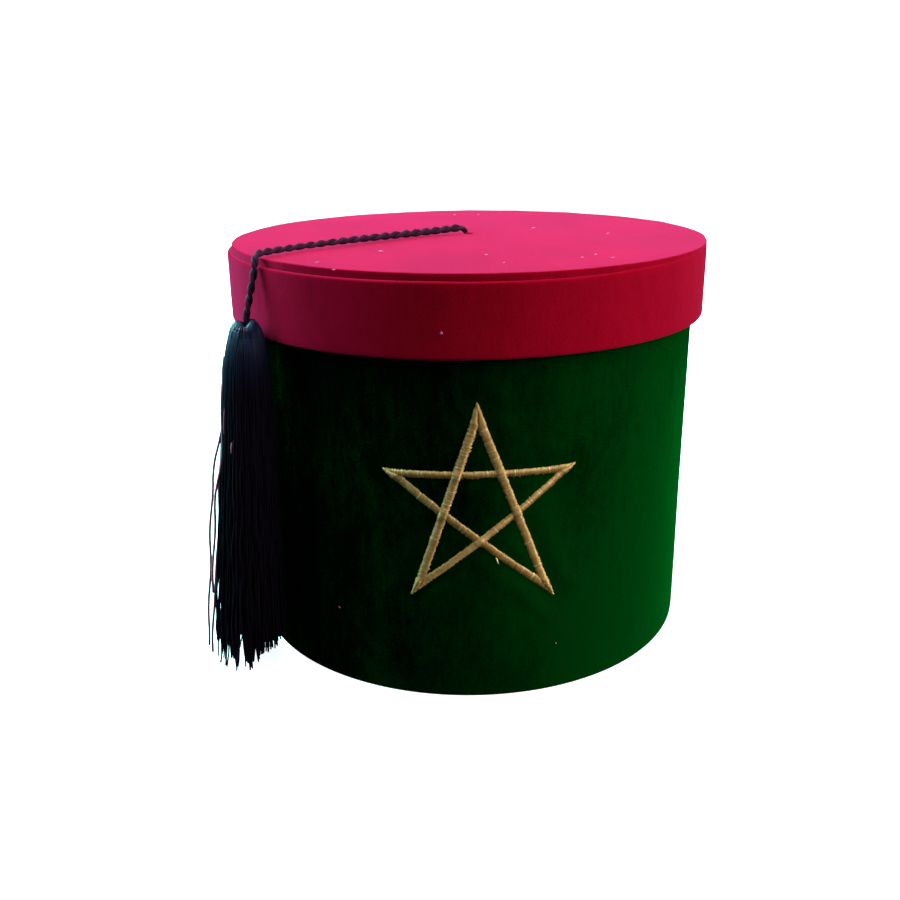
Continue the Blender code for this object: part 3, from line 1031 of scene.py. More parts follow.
@dataclass
class RedLid:
    """The lid: a velvet-covered rim, and a velvet-covered plate that sits a little off its middle."""

    plate_shift: Vector = field(default_factory=lambda: Vector((1.0 * MM, 0.15 * MM, 0)))
    cover: float = 0.9 * MM
    shoulder: float = 0.9 * MM
    lip: float = 2.0 * MM
    groove: float = 0.8 * MM
    hem: float = 0.8 * MM
    turned_in: float = 11 * MM
    segments: int = 360
    row: float = 1.5 * MM
    plate_crown: float = 1.2 * MM
    tuck: float = 1.15 * MM
    seam: LappedSeam = LappedSeam(158.0, 0.5 * MM, 12.0)

    def rim_relief(
        self, azimuth: np.ndarray, radius: np.ndarray, height: np.ndarray
    ) -> tuple[np.ndarray, np.ndarray]:
        """The rim's soft waves, its slightly wavy hem and its lapped seam."""
        low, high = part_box("lid_rim")
        worn = soft_step(high.x - 2.5 * MM, high.x - 0.3 * MM, radius)
        points = around(azimuth, radius, height)
        push = field_noise(points, 30 * MM, 9.0) * 0.12 * MM + 0.05 * MM
        push = push + field_noise(points, 9 * MM, 2.0) * 0.05 * MM
        push = push + self.seam.push(azimuth)
        hem = soft_step(low.z + 3 * MM, low.z, height)
        shoulder = soft_step(high.z - 3 * MM, high.z - 0.5 * MM, height)
        on_lip = soft_step(high.x - self.lip - 0.4 * MM, high.x - self.lip + 0.2 * MM, radius)
        on_shoulder = soft_step(high.x - self.shoulder - 0.2 * MM, high.x - self.shoulder, radius)
        square = self.tucked(azimuth) * shoulder * on_shoulder
        push = push * worn + 0.85 * square * (high.x - 0.1 * MM - radius)
        sway = field_noise(points * np.array((1, 1, 0)), 24 * MM, 4.0)
        drop = 0.35 * MM + 0.45 * MM * soft_step(40, 0, azimuth - 360 * (azimuth > 200))
        upward = sway * (0.22 * MM * hem - 0.18 * MM * shoulder) - drop * hem
        return push, upward + self.tuck * self.tucked(azimuth) * shoulder * on_lip

    def tucked(self, azimuth: np.ndarray) -> np.ndarray:
        """How tightly the rim's cover meets the plate's edge: 0 on the left and 1 on the right."""
        return soft_step(12, 62, azimuth) * soft_step(176, 130, azimuth)

    def plate_relief(
        self, azimuth: np.ndarray, radius: np.ndarray, height: np.ndarray
    ) -> tuple[np.ndarray, np.ndarray]:
        """The plate's crown, its soft unevenness and its slightly wavy edge."""
        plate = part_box("lid_top")[1].x
        edge_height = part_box("lid_top")[1].z - self.plate_crown
        points = around(azimuth, radius, height)
        on_top = soft_step(edge_height - 1.2 * MM, edge_height - 0.1 * MM, height)
        crown = self.plate_crown * (1 - np.clip(radius / plate, 0, 1) ** 2)
        dimple = -0.5 * MM * np.exp(-((radius / (7 * MM)) ** 2))
        waves = field_noise(points * np.array((1, 1, 0)), 42 * MM, 6.0) * 0.16 * MM
        edge = soft_step(plate - 4 * MM, plate - 0.5 * MM, radius)
        wavy = field_noise(points * np.array((1, 1, 0)), 13 * MM, 8.0)
        upward = on_top * (crown + dimple + waves) + wavy * edge * 0.13 * MM
        under = edge * soft_step(edge_height - 0.7 * MM, edge_height - 1.3 * MM, height)
        return wavy * edge * 0.16 * MM, upward + self.tuck * under * self.tucked(azimuth)

    def build(self, velvet: bpy.types.Material, board: bpy.types.Material) -> None:
        """Makes the rim, the plate and the boards behind them."""
        self.build_rim(velvet, board)
        self.build_plate(velvet, board)

    def build_rim(self, velvet: bpy.types.Material, board: bpy.types.Material) -> None:
        """Makes the rim's cover and board."""
        low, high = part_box("lid_rim")
        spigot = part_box("lid_top")[0].z
        inner = high.x - 3.2 * MM
        outer = high.x
        lap_top = low.z + self.turned_in
        cover = (
            (outer, high.z, self.shoulder),
            (outer, low.z, self.hem),
            (inner, low.z, self.hem),
            (inner, lap_top, 0.3 * MM),
            (inner + self.cover, lap_top, 0.2 * MM),
            (inner + self.cover, low.z + self.cover, 0.5 * MM),
            (outer - self.cover, low.z + self.cover, 0.5 * MM),
            (outer - self.cover, high.z - self.groove - self.cover, 0),
            (inner, high.z - self.groove - self.cover, 0),
            (inner, high.z - self.groove, 0.2 * MM),
            (outer - self.lip, high.z - self.groove, 0.2 * MM),
        )
        rim = turned_shell(
            "rim_velvet", rounded_profile(cover, self.row), self.segments, velvet, self.rim_relief
        )
        settle(rim, Body.LID, ["lid_rim"])
        slack = 0.1 * MM
        band = (
            (outer - self.cover - 0.3 * MM, high.z - 3 * MM, 0.2 * MM),
            (outer - self.cover - 0.3 * MM, low.z + self.cover + 0.3 * MM, 0.2 * MM),
            (inner + self.cover + slack, low.z + self.cover + 0.3 * MM, 0.2 * MM),
            (inner + self.cover + slack, lap_top + slack, 0),
            (inner, lap_top + slack, 0),
            (inner, spigot - slack, 0),
            (inner, high.z - 3 * MM, 0),
        )
        turn_board("rim_board", Body.LID, band, board)

    def build_plate(self, velvet: bpy.types.Material, board: bpy.types.Material) -> None:
        """Makes the plate's cover and the board under it, each with the cord's hole."""
        low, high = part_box("lid_top")
        rim_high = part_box("lid_rim")[1].z
        radius = high.x
        edge_height = high.z - self.plate_crown
        under = rim_high - self.groove - 0.1 * MM
        hole = 1.9 * MM
        cover = (
            (hole, edge_height, 0.6 * MM),
            (radius, edge_height, 0.45 * MM),
            (radius, under, 0.4 * MM),
            (radius - 9 * MM, under, 0.3 * MM),
            (radius - 9 * MM, under + 0.8 * MM, 0.2 * MM),
            (hole, under + 0.8 * MM, 0.2 * MM),
        )
        plate = turned_shell(
            "plate_velvet",
            rounded_profile(cover, self.row),
            self.segments,
            velvet,
            self.plate_relief,
            self.plate_shift,
        )
        settle(plate, Body.LID, ["lid_top"])
        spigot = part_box("lid_rim")[1].x - 3.5 * MM
        disc = (
            (hole + 0.8 * MM, under + 0.6 * MM, 0),
            (spigot - 6 * MM, under + 0.6 * MM, 0),
            (spigot - 6 * MM, under - 0.1 * MM, 0),
            (spigot, under - 0.1 * MM, 0),
            (spigot, low.z, 0.3 * MM),
            (hole + 0.8 * MM, low.z, 0.2 * MM),
        )
        turn_board("plate_board", Body.LID, disc, board, 9 * MM)


@dataclass
class Cord:
    """The two-ply twisted cord, along the same route as its tube in the frame."""

    diameter: float = 2.9 * MM
    lay: float = 9.8 * MM
    ply_radius: float = 0.84 * MM
    ply_offset: float = 0.66 * MM
    strand_lay: float = 3.4 * MM
    plate_setback: float = 1.0 * MM
    plate_crown: float = 1.2 * MM
    tassel_head: float = 13.4 * MM
    # the middle of the azimuths that the cord lies in, for a level vector across it
    heading: float = -55.0
    fuzz: int = 170
    # share of the plate's radius, lift of the cord off the velvet in diameters, azimuth in degrees
    on_top: tuple[tuple[float, float, float], ...] = (
        (0.000, -0.64, -57.0),
        (0.012, -0.19, -57.0),
        (0.033, 0.10, -57.0),
        (0.071, 0.13, -57.0),
        (0.141, 0.07, -57.0),
        (0.263, 0.03, -57.0),
        (0.404, 0.02, -57.4),
        (0.545, 0.02, -57.4),
        (0.687, 0.02, -57.0),
        (0.808, 0.02, -56.3),
        (0.899, 0.02, -55.5),
        (0.960, 0.03, -54.8),
    )
    # share of the way out from the lid's edge to the tassel's axis, drop below the lid's top as a share
    # of the drop to the tassel, azimuth in degrees
    over_edge: tuple[tuple[float, float, float], ...] = (
        (-0.180, -0.080, -54.0),
        (0.080, -0.036, -53.3),
        (0.210, 0.065, -52.9),
        (0.310, 0.210, -52.8),
        (0.500, 0.430, -52.8),
        (0.690, 0.640, -52.8),
        (0.860, 0.830, -52.8),
        (1.000, 1.000, -52.8),
        (1.030, 1.120, -52.9),
    )

    def route(self) -> list[Vector]:
        """The chosen points of the middle line, from the hole to the tassel."""
        lid_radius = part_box("lid_rim")[1].x
        plate_radius = lid_radius - self.plate_setback
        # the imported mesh's crown stops a little short of its height, which is a whole number
        edge_height = round((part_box("lid_top")[1].z - self.plate_crown) / MM) * MM
        tassel_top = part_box("tassel")[1].z
        points = []
        for share, lift, azimuth in self.on_top:
            reach = share * plate_radius
            crown = self.plate_crown * (1 - share**2)
            height = edge_height + crown + TOUCH_GAP + self.diameter * (0.5 + lift)
            points.append(direction(azimuth) * reach + Vector((0, 0, height)))
        tassel_reach = TOUCH_GAP + self.tassel_head / 2
        for out, drop, azimuth in self.over_edge:
            reach = lid_radius + out * tassel_reach
            height = edge_height - drop * (edge_height - tassel_top - TOUCH_GAP)
            points.append(direction(azimuth) * reach + Vector((0, 0, height)))
        return points

    def build(self, finish: bpy.types.Material) -> tuple[bpy.types.Object, np.ndarray]:
        """Twists the cord.

        Args:
            finish: The cord's material.

        Returns:
            The cord and its middle line.
        """
        path = curve_through(self.route(), 0.4 * MM)
        step = length_of(path) / (len(path) - 1)
        along = np.arange(len(path)) * step
        ahead = unit(np.gradient(path, axis=0))
        level = np.array(direction(self.heading).cross(Vector((0, 0, 1))))
        across = unit(np.cross(ahead, level))
        side = np.cross(across, ahead)
        untwisted = soft_step(1 * MM, 9 * MM, along)
        hanging = soft_step(86 * MM, 98 * MM, along)
        slimmer = 0.20 * soft_step(15 * MM, 90 * MM, along)
        taper = (0.62 + 0.38 * soft_step(0.0, 5 * MM, along)) * (1.05 - slimmer + 0.08 * hanging)
        turn = 2 * np.pi * np.cumsum(0.55 + 0.45 * untwisted) * step / self.lay
        bundle = TubeBundle()
        for ply in range(2):
            angle = turn + np.pi * ply
            offset = across * np.cos(angle)[:, None] + side * np.sin(angle)[:, None]
            offset *= (self.ply_offset * taper)[:, None]
            bundle.add(
                path + offset,
                self.ply_radius * taper,
                level,
                16,
                0.42 + 0.16 * ply,
                lobes=4,
                lobe_depth=0.075,
                lobe_turn=-2 * np.pi * along / self.strand_lay,
            )
        self.add_fuzz(bundle, path, across, side, level)
        return bundle.piece("twisted_cord", finish), path

    def add_fuzz(
        self,
        bundle: TubeBundle,
        path: np.ndarray,
        across: np.ndarray,
        side: np.ndarray,
        level: np.ndarray,
    ) -> None:
        """Adds short loose fibres that stand off the cord.

        Args:
            bundle: Gathers the cord's tubes.
            path: The cord's middle line.
            across: One unit vector across the cord for each point.
            side: The other one.
            level: A vector that the path never runs along.
        """
        rng = random.Random(SEED + 1)
        on_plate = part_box("lid_top")[1].z - 1 * MM
        for _ in range(self.fuzz):
            i = rng.randrange(12, len(path) - 12)
            angle = rng.uniform(0, 2 * math.pi)
            out = across[i] * math.cos(angle) + side[i] * math.sin(angle)
            if out[2] < -0.2 and path[i][2] > on_plate:
                continue
            ahead = unit(path[i + 1] - path[i]) * rng.choice((-1, 1))
            length = rng.uniform(0.5, 1.4) * MM
            root = path[i] + out * 1.2 * MM
            shares = np.array([[0], [0.35], [0.7], [1]])
            bends = root + ahead * length * shares + out * (0.45 * length * shares * (1.4 - shares))
            bundle.add(bends, 0.035 * MM, level + out * 0.3, 3, 0.7)


@dataclass
class Tassel:
    """The tassel: strands folded over the cord's end, bound at the neck and hanging free below."""

    azimuth: float = -52.8
    lean: float = -5.2
    head_radius: float = 6.7 * MM
    hem_radius: float = 15.5 * MM
    wall_room: float = 0.4 * MM
    strand_radius: float = 0.36 * MM
    neck_depth: float = 12.0 * MM
    # depth below the tassel's top, radius of its outline
    outline: tuple[tuple[float, float], ...] = (
        (0.6 * MM, 1.2 * MM),
        (0.1 * MM, 1.9 * MM),
        (0.1 * MM, 2.8 * MM),
        (0.6 * MM, 4.1 * MM),
        (2.6 * MM, 5.5 * MM),
        (6.0 * MM, 6.4 * MM),
        (9.0 * MM, 7.1 * MM),
        (12.0 * MM, 7.6 * MM),
        (15.0 * MM, 8.1 * MM),
        (22.0 * MM, 8.8 * MM),
        (36.0 * MM, 9.5 * MM),
        (56.0 * MM, 10.6 * MM),
        (80.0 * MM, 12.0 * MM),
        (110.0 * MM, 13.6 * MM),
        (141.0 * MM, 14.9 * MM),
    )
    # number of strands, share of the outline's radius at the neck, the same at the hem, starts in the head
    layers: tuple[tuple[int, float, float, bool], ...] = (
        (74, 1.0, 1.0, True),
        (66, 0.90, 0.88, True),
        (58, 0.78, 0.72, False),
        (48, 0.62, 0.55, False),
        (34, 0.42, 0.36, False),
    )
    # where the skirt's locks lie, across the tassel as seen from the front
    locks: tuple[float, ...] = (
        -13.3 * MM,
        -7.4 * MM,
        -1.6 * MM,
        3.0 * MM,
        7.0 * MM,
        11.0 * MM,
        14.0 * MM,
    )
    across: Vector = field(default_factory=lambda: Vector((0.975, 0.222, 0)))
    # the head's cleft, in radians round the tassel, how far it pulls the strands in and down, and how
    # far the strands on its right climb the cord
    cleft: float = math.radians(-84)
    cleft_share: float = 0.30
    cleft_drop: float = 1.4 * MM
    lobe_rise: float = 1.4 * MM
    # how much longer than the outline the longest strands are, and how much shorter each layer is
    hem_extra: float = 2.2 * MM
    layer_step: float = 0.6 * MM
    # how much shorter the hem gets, and between which shares across the tassel, -1 left to 1 right
    hem_steps: tuple[tuple[float, float, float], ...] = (
        (7.4 * MM, -0.12, 0.32),
        (3.5 * MM, 0.4, 0.9),
        (6.5 * MM, -0.88, -0.98),
    )
    # more strands at the front right, where the skirt is dense: number, first angle and step in degrees
    dense: tuple[int, float, float] = (20, -74, 3.6)
    # loose strands on the left: depth where each leaves the skirt, angle in degrees, stand-off, hem depth
    strays: tuple[tuple[float, float, float, float], ...] = (
        (47 * MM, 180, 3.1 * MM, 140 * MM),
        (103 * MM, 190, 1.1 * MM, 142 * MM),
        (58 * MM, 199, 1.7 * MM, 112 * MM),
    )
    # strands painted pale as a highlight, which come up for a short length: from and to in mm of depth,
    # angle in degrees
    slivers: tuple[tuple[float, float, float], ...] = ((31, 44, 216), (44.5, 50, 242), (104, 110.5, 214))
    # the inner strands behind the dense ones: depths and radii in mm
    pack: tuple[tuple[float, float], ...] = (
        (70, 1.5),
        (95, 4.0),
        (115, 5.0),
        (131.5, 5.4),
        (134.0, 4.6),
        (135.4, 2.6),
    )
    hang: Matrix = field(default_factory=Matrix)

    def __post_init__(self) -> None:
        """Finds where the tassel hangs: its top, and the lean of its axis."""
        top_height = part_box("tassel")[1].z
        lid_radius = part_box("lid_rim")[1].x
        box_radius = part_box("box_wall")[1].x
        top = direction(self.azimuth) * (lid_radius + TOUCH_GAP + self.head_radius)
        top.z = top_height
        hem = direction(self.azimuth + self.lean) * (box_radius + self.wall_room + self.hem_radius)
        hem.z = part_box("tassel")[0].z
        turn = Vector((0, 0, -1)).rotation_difference(hem - top)
        self.hang = Matrix.Translation(top) @ turn.to_matrix().to_4x4()

    def build(self, finish: bpy.types.Material) -> bpy.types.Object:
        """Makes the strands and the binding.

        Args:
            finish: The thread's material.

        Returns:
            The binding, which holds the strands to the cord.
        """
        rng = random.Random(SEED + 2)
        strands = TubeBundle()
        for layer, (count, _, _, _) in enumerate(self.layers):
            for i in range(count):
                angle = 2 * math.pi * (i + 0.5 * (layer % 2) + rng.uniform(-0.25, 0.25)) / count
                self.add_strand(strands, layer, angle, rng)
        self.add_strays(strands, rng)
        self.add_slivers(strands)
        self.add_core(strands)
        dense_rng = random.Random(SEED + 9)
        number, first, step = self.dense
        for k in range(number):
            degrees = first + step * k + dense_rng.uniform(-1, 1)
            self.add_strand(strands, k % 2, math.radians(degrees), dense_rng)
        skirt = strands.piece("tassel_strands", finish)
        settle(skirt, Body.LID, ["tassel"])
        binding = self.wind_binding(rng).piece("tassel_binding_thread", finish)
        settle(binding, Body.LID, ["tassel_binding"])
        return binding

    def place(self, points: Sequence[Sequence[float]]) -> np.ndarray:
        """Points of the upright tassel, moved to where it hangs."""
        return np.array([self.hang @ Vector(p) for p in points])

    def curve(self, points: Sequence[Sequence[float]], spacing: float) -> np.ndarray:
        """A smooth curve through points of the upright tassel, moved to where it hangs."""
        return curve_through([Vector(p) for p in self.place(points)], spacing)

    def skirt_radius(self, depth: float) -> float:
        """The radius of the skirt's outline at a depth."""
        depths, radii = zip(*(s for s in self.outline if s[0] >= self.neck_depth))
        return float(np.interp(depth, depths, radii))

    def add_strand(
        self,
        bundle: TubeBundle,
        layer: int,
        angle: float,
        rng: random.Random,
    ) -> None:
        """Adds one strand of a layer.

        Args:
            bundle: Gathers the strands.
            layer: Which layer it belongs to, 0 outside.
            angle: Where it leaves the neck, in radians round the tassel.
            rng: The source of small differences between the strands.
        """
        _, neck_share, hem_share, from_head = self.layers[layer]
        spread = Vector((math.cos(angle), math.sin(angle), 0)) @ self.across
        ragged = float(soft_step(0.3, -0.05, spread))
        full_depth, full_radius = self.outline[-1]
        hem_depth = full_depth + self.hem_extra - self.layer_step * layer
        for shorter, start, end in self.hem_steps:
            hem_depth -= shorter * float(soft_step(start, end, spread))
        hem_depth -= rng.triangular(0, 1.2 + 2.6 * ragged, 0.4) * MM
        hem_place = full_radius * hem_share * spread
        lock = min(self.locks, key=lambda place: abs(place - hem_place))
        gather = (lock - hem_place) * rng.uniform(0.3, 0.8) * ragged
        phase, phase_two = rng.uniform(0, 6.28), rng.uniform(0, 6.28)
        wave, wave_two = rng.uniform(24, 46) * MM, rng.uniform(15, 30) * MM
        sway = rng.uniform(0.15, 0.7) * MM
        hem_spread = rng.uniform(0.90, 1.03)
        bulge = rng.uniform(-0.8, 0.45) * MM
        stations = [s for s in self.outline if from_head and s[0] < self.neck_depth]
        skirt_steps = 20
        for k in range(skirt_steps + 1):
            depth = self.neck_depth + (hem_depth - self.neck_depth) * (k / skirt_steps) ** 1.15
            stations.append((depth, self.skirt_radius(depth)))
        points = []
        for depth, radius in stations:
            down = max(0.0, (depth - self.neck_depth) / (full_depth - self.neck_depth))
            share = neck_share + (hem_share * hem_spread - neck_share) * down
            if from_head and depth < self.neck_depth:
                share = neck_share if radius > 4 * MM else 1.0
            swing = sway * down**0.7 * math.sin(phase + 2 * math.pi * depth / wave)
            swing_two = 0.5 * sway * down**0.7 * math.sin(phase_two + 2 * math.pi * depth / wave_two)
            turned = angle + swing / max(radius, 3 * MM)
            cleft = abs(math.cos(angle - self.cleft))
            near_cleft = math.exp(-(((1 - cleft) / 0.10) ** 2)) * float(soft_step(9 * MM, 3 * MM, depth))
            reach = radius * share * (1 - self.cleft_share * near_cleft) + swing_two
            depth += self.cleft_drop * cleft**2 * float(soft_step(8 * MM, 2 * MM, depth))
            climb = float(soft_step(-0.1, 0.7, spread)) * float(soft_step(4.5 * MM, 1.5 * MM, radius))
            depth -= self.lobe_rise * climb * (depth < 3 * MM)
            if from_head and depth < self.neck_depth:
                reach += bulge * (1 - depth / self.neck_depth) ** 2
            x, y, _ = self.across * gather * down**13
            points.append((reach * math.cos(turned) + x, reach * math.sin(turned) + y, -depth))
        path = self.curve(points, 2.2 * MM if from_head else 3.2 * MM)
        upright = self.place([(-math.sin(angle), math.cos(angle), 0), (0, 0, 0)])
        shade = 0.60 * rng.betavariate(1.6, 2.0)
        radius = self.strand_radius * rng.uniform(0.85, 1.12)
        bundle.add(path, radius, unit(upright[0] - upright[1]), 5, shade)

    def add_strays(self, bundle: TubeBundle, rng: random.Random) -> None:
        """Adds the loose strands that hang apart on the outer left side."""
        top, steps = 14 * MM, 18
        for leaves, degrees, stand_off, hem in self.strays:
            angle = math.radians(degrees)
            phase = rng.uniform(0, 6.28)
            points = []
            for k in range(steps + 1):
                depth = top + (hem - top) * k / steps
                out = float(soft_step(leaves - 5 * MM, leaves + 17 * MM, depth)) * stand_off
                reach = self.skirt_radius(depth) + out
                reach += 0.35 * MM * math.sin(phase + depth / (5.5 * MM))
                turned = angle + 0.03 * math.sin(phase + depth / (9 * MM))
                points.append((reach * math.cos(turned), reach * math.sin(turned), -depth))
            reference = np.array((-math.sin(angle), math.cos(angle), 0))
            # painted light: the loose strands get the pale shade
            bundle.add(self.curve(points, 2.4 * MM), self.strand_radius * 1.4, reference, 6, 1.0)

    def add_slivers(self, bundle: TubeBundle) -> None:
        """Adds the strands painted pale as a highlight, which dive under the others at both ends."""
        steps = 8
        for start, end, degrees in self.slivers:
            angle = math.radians(degrees)
            points = []
            for k in range(steps + 1):
                depth = (start + (end - start) * k / steps) * MM
                dive = (1 - math.sin(math.pi * k / steps)) ** 3
                reach = self.skirt_radius(depth) + (0.2 - 0.9 * dive) * MM
                points.append((reach * math.cos(angle), reach * math.sin(angle), -depth))
            reference = np.array((-math.sin(angle), math.cos(angle), 0))
            # painted highlight: these strands get a pale shade
            bundle.add(self.place(points), self.strand_radius * 0.9, reference, 6, 0.95)

    def add_core(self, bundle: TubeBundle) -> None:
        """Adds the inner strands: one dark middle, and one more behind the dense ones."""
        share, shade = 0.66, 0.1
        middle = [(depth, radius * share) for depth, radius in self.outline[5:-1]]
        middle = [(4.4 * MM, 2.2 * MM), *middle, (130 * MM, 8.6 * MM)]
        points = [(0.0, 0.0, -depth) for depth, _ in middle]
        widths = np.array([radius for _, radius in middle])
        bundle.add(self.place(points), widths, np.array((1.0, 0, 0)), 20, shade)
        side = (self.across * 6.0 + Vector((0.222, -0.975, 0)) * 3.5) * MM  # right and front of the axis
        points = [(side.x, side.y, -depth * MM) for depth, _ in self.pack]
        widths = np.array([radius * MM for _, radius in self.pack])
        bundle.add(self.place(points), widths, np.array((1.0, 0, 0)), 16, shade)

    def wind_binding(self, rng: random.Random) -> TubeBundle:
        """Winds the binding thread round the neck in three turns."""
        turns, steps = 3, 48
        thread, neck_radius = 0.22 * MM, 7.4 * MM
        points = []
        for k in range(turns * steps + 1):
            angle = 2 * math.pi * k / steps
            depth = self.neck_depth - thread * turns + 2 * thread * k / steps
            reach = neck_radius + rng.uniform(-0.04, 0.04) * MM
            points.append((reach * math.cos(angle), reach * math.sin(angle), -depth))
        bundle = TubeBundle()
        bundle.add(self.place(points), thread, np.array((0.0, 0.0, 1.0)), 6, 0.2)
        return bundle


@dataclass
class Lint:
    """Small tufts of pale fibre caught in the velvet."""

    plate_crown: float = 1.2 * MM
    plate_radius: float = 99  # in mm
    curl_height: float = 1.5
    # place on the lid's top from its axis in mm: right, back, and the tuft's size in mm
    on_lid: tuple[tuple[float, float, float], ...] = (
        (-2, 70, 1.1),
        (10, 69, 0.8),
        (30, 10, 1.0),
        (-35, -52, 1.3),
        (-57, -72, 0.7),
        (-50, -88, 0.8),
        (4, -64, 0.7),
        (9, -81, 0.6),
        (38, -72, 0.8),
        (44, -66, 0.9),
        (59, -10, 1.0),
        (49, -73, 0.9),
    )
    # azimuth in degrees, height in mm and size in mm, on the rim and on the wall
    on_rim: tuple[tuple[float, float, float], ...] = ((-7.8, 146.0, 0.8),)
    on_wall: tuple[tuple[float, float, float], ...] = ((-35.0, 31.6, 0.7), (18.0, 20.0, 0.4))

    def build(self, finish: bpy.types.Material) -> None:
        """Scatters the tufts."""
        rng = random.Random(SEED + 3)
        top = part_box("lid_top")[1].z
        lid, wall = TubeBundle(), TubeBundle()
        for right, back, size in self.on_lid:
            drop = self.plate_crown * (right**2 + back**2) / self.plate_radius**2
            spot = Vector((right * MM, back * MM, top - drop + 0.12 * MM))
            self.add_tuft(lid, spot, Vector((0, 0, 1)), size * MM, rng)
        sides = ((lid, "lid_rim", 0.1 * MM, self.on_rim), (wall, "box_wall", 0.15 * MM, self.on_wall))
        for bundle, node, proud, tufts in sides:
            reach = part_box(node)[1].x + proud
            for azimuth, height, size in tufts:
                spot = direction(azimuth) * reach + Vector((0, 0, height * MM))
                self.add_tuft(bundle, spot, direction(azimuth), size * MM, rng)
        settle(lid.piece("lid_lint", finish), Body.LID)
        settle(wall.piece("wall_lint", finish), Body.BOX)

    def add_tuft(
        self, bundle: TubeBundle, spot: Vector, out: Vector, size: float, rng: random.Random
    ) -> None:
        """Adds one tuft of short curled fibres.

        Args:
            bundle: Gathers the fibres.
            spot: The tuft's middle, on the velvet.
            out: The unit vector away from the velvet.
            size: How far its fibres reach.
            rng: The source of the fibres' directions.
        """
        first = out.orthogonal().normalized()
        second = out.cross(first)
        for _ in range(13):
            angle = rng.uniform(0, 2 * math.pi)
            ahead = first * math.cos(angle) + second * math.sin(angle)
            beside = out.cross(ahead)
            curl = rng.uniform(-0.5, 0.5)
            start = spot - ahead * size * rng.uniform(0.2, 0.6)
            length = size * rng.uniform(0.8, 1.4)
            fibre = [
                start
                + ahead * length * t
                + beside * length * curl * t * (1 - t)
                + out * self.curl_height * size * t * (1 - t)
                for t in (0, 0.25, 0.5, 0.75, 1)
            ]
            bundle.add(np.array(fibre), 0.055 * MM, np.array(out + ahead * 0.01), 4, rng.random())


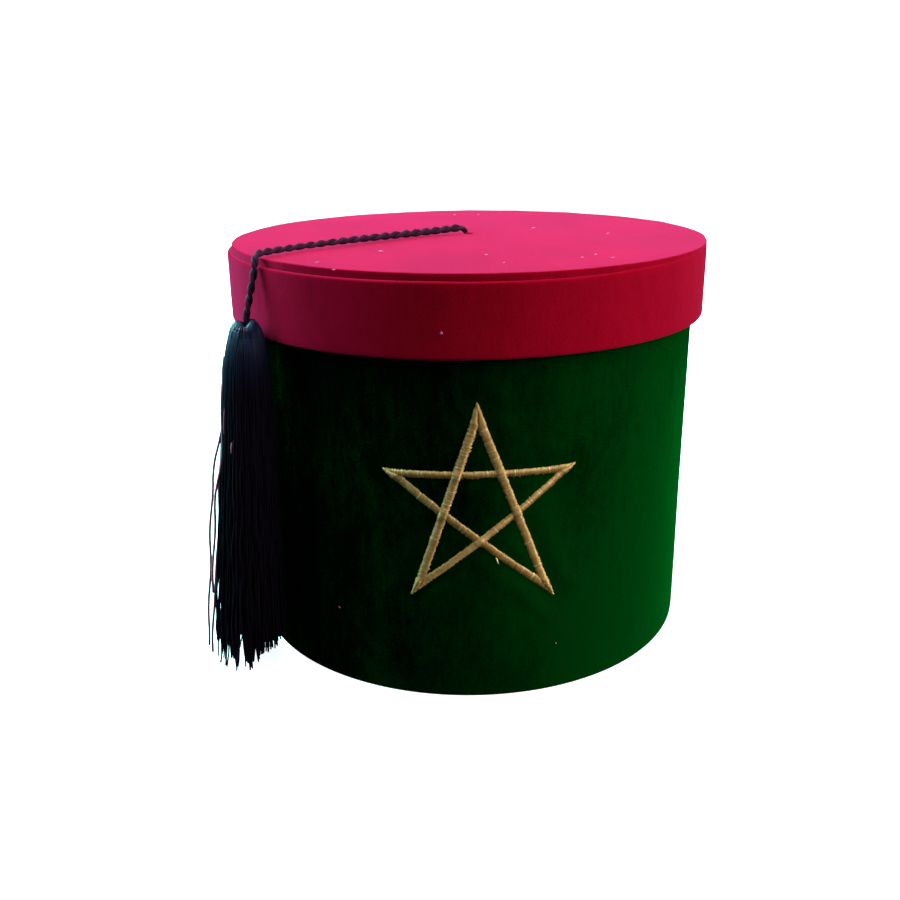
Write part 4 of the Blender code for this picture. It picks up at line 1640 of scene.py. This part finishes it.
@dataclass
class Studio:
    """The pale floor, the soft lights and the camera."""

    floor_radius: float = 1.7
    sweep_radius: float = 1.1
    wall_height: float = 1.9
    camera_place: Vector = field(default_factory=lambda: Vector((-22.6, -431.7, 221.1)) * MM)
    camera_yaw: float = 1.954
    camera_pitch: float = 19.412
    camera_roll: float = -0.630
    camera_lens: float = 39.93

    def build(self) -> None:
        """Sets up everything round the box."""
        self.add_camera()
        self.add_floor()
        self.add_world()
        # name, azimuth, elevation, distance, width, height, power, colour
        lamps = (
            ("top_light", 0.0, 85.0, 1.5, 1.2, 1.2, 31.6, (1.0, 0.97, 0.96)),
            ("right_light", 80.0, 30.0, 1.15, 0.7, 0.8, 14.0, (1.0, 1.0, 0.94)),
            ("front_light", 60.0, 15.0, 1.15, 0.7, 0.8, 11.0, (1.0, 1.0, 0.94)),
            ("left_light", -100.0, 21.0, 1.2, 0.8, 0.8, 21.0, (0.54, 1.35, 1.5)),
            ("far_left_light", -116.0, 40.0, 1.2, 0.8, 0.8, 36.0, (0.47, 1.5, 1.5)),
            ("glint_light", -35.0, 48.0, 1.2, 0.14, 0.14, 0.9, (0.60, 0.80, 1.0)),
        )
        for lamp in lamps:
            self.add_light(*lamp)

    def add_camera(self) -> None:
        """Places the camera as the photograph was taken."""
        yaw, pitch, roll = (math.radians(a) for a in (self.camera_yaw, self.camera_pitch, self.camera_roll))
        ahead = Vector((math.sin(yaw) * math.cos(pitch), math.cos(yaw) * math.cos(pitch), -math.sin(pitch)))
        level = Vector((math.cos(yaw), -math.sin(yaw), 0))
        upright = level.cross(ahead)
        right = level * math.cos(roll) + upright * math.sin(roll)
        up = upright * math.cos(roll) - level * math.sin(roll)
        camera = bpy.data.objects.new("camera", bpy.data.cameras.new("camera"))
        camera.data.lens = self.camera_lens
        camera.data.sensor_width = 36.0
        camera.data.clip_start = 0.01
        camera.matrix_world = Matrix.Translation(self.camera_place) @ Matrix(
            (right, up, -ahead)
        ).transposed().to_4x4()
        bpy.context.scene.collection.objects.link(camera)
        bpy.context.scene.camera = camera

    def add_floor(self) -> None:
        """Makes the pale floor, which curves up all round far behind the box."""
        profile = [(0.0, 0.0), (0.5, 0.0), (self.floor_radius, 0.0)]
        for k in range(1, 13):
            angle = math.pi / 2 * k / 12
            profile.append(
                (
                    self.floor_radius + self.sweep_radius * math.sin(angle),
                    self.sweep_radius * (1 - math.cos(angle)),
                )
            )
        profile.append((self.floor_radius + self.sweep_radius, self.wall_height))
        segments = 96
        points, faces = [(0.0, 0.0, 0.0)], []
        for i in range(segments):
            for radius, height in profile[1:]:
                points.append(tuple(direction(360 * i / segments) * radius + Vector((0, 0, height))))
        rows = len(profile) - 1
        for i in range(segments):
            here, following = 1 + i * rows, 1 + (i + 1) % segments * rows
            faces.append((0, here, following))
            for j in range(rows - 1):
                faces.append((here + j, here + j + 1, following + j + 1, following + j))
        mesh = bpy.data.meshes.new("studio_floor")
        mesh.from_pydata(points, [], faces)
        mesh.shade_smooth()
        bench = NodeBench("studio_paper")
        grain = bench.noise(40 * MM, 2.0)
        stops = ((0.3, (0.86, 0.86, 0.86)), (0.7, (0.88, 0.88, 0.88)))
        bench.feed(bench.ramp(grain, stops), "Base Color")
        bench.constant(Roughness=0.95, Specular_IOR_Level=0.0)
        bench.constant(Emission_Color=(1, 1, 1, 1), Emission_Strength=0.8)
        floor = make_object("studio_floor", mesh, bench.material)
        floor.visible_diffuse = False
        floor.visible_glossy = False

    def add_world(self) -> None:
        """Gives the room its dim even light."""
        world = bpy.data.worlds.new("studio_room")
        bpy.context.scene.world = world
        world.use_nodes = True
        background = world.node_tree.nodes["Background"]
        background.inputs["Color"].default_value = (0.92, 0.96, 1.0, 1)
        background.inputs["Strength"].default_value = 0.02

    def add_light(
        self,
        name: str,
        azimuth: float,
        elevation: float,
        distance: float,
        width: float,
        height: float,
        power: float,
        colour: Colour,
    ) -> None:
        """Adds one soft light that faces the box.

        Args:
            name: The light's name.
            azimuth: Where it stands round the box, in degrees.
            elevation: How high it stands, in degrees above the level.
            distance: How far it is from the box.
            width: The size of its face from side to side.
            height: The size of its face from bottom to top.
            power: Its power in watts.
            colour: Its colour.
        """
        data = bpy.data.lights.new(name, "AREA")
        data.shape = "RECTANGLE"
        data.size, data.size_y = width, height
        data.energy = power
        data.color = colour
        lamp = bpy.data.objects.new(name, data)
        rise = math.radians(elevation)
        back = direction(azimuth) * math.cos(rise) + Vector((0, 0, math.sin(rise)))
        lamp.location = Vector((0, 0, 85 * MM)) + back * distance
        lamp.rotation_mode = "QUATERNION"
        lamp.rotation_quaternion = back.to_track_quat("Z", "Y")
        lamp.visible_camera = False
        bpy.context.scene.collection.objects.link(lamp)


def main() -> None:
    """Builds the dressed box and the studio round it."""
    logging.basicConfig(level=logging.INFO, format="%(name)s: %(message)s")
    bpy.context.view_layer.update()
    bpy.context.scene.view_settings.view_transform = "Standard"
    Studio().build()
    board = Board().make()
    red = RED_VELVET.make()
    black = BLACK_THREAD.make()
    cord_finish = BLACK_CORD.make()
    cord = Cord()
    twisted, path = cord.build(cord_finish)
    settle(twisted, Body.LID, ["tassel_cord"])
    binding = Tassel().build(black)
    finish_node("cord_knot", cord_finish)
    star = Star()
    star.build(GOLD_THREAD.make())
    GreenBox(star).build(GREEN_VELVET.make(), board)
    RedLid().build(red, board)
    Lint().build(LINT.make())


if __name__ == "__main__":
    main()
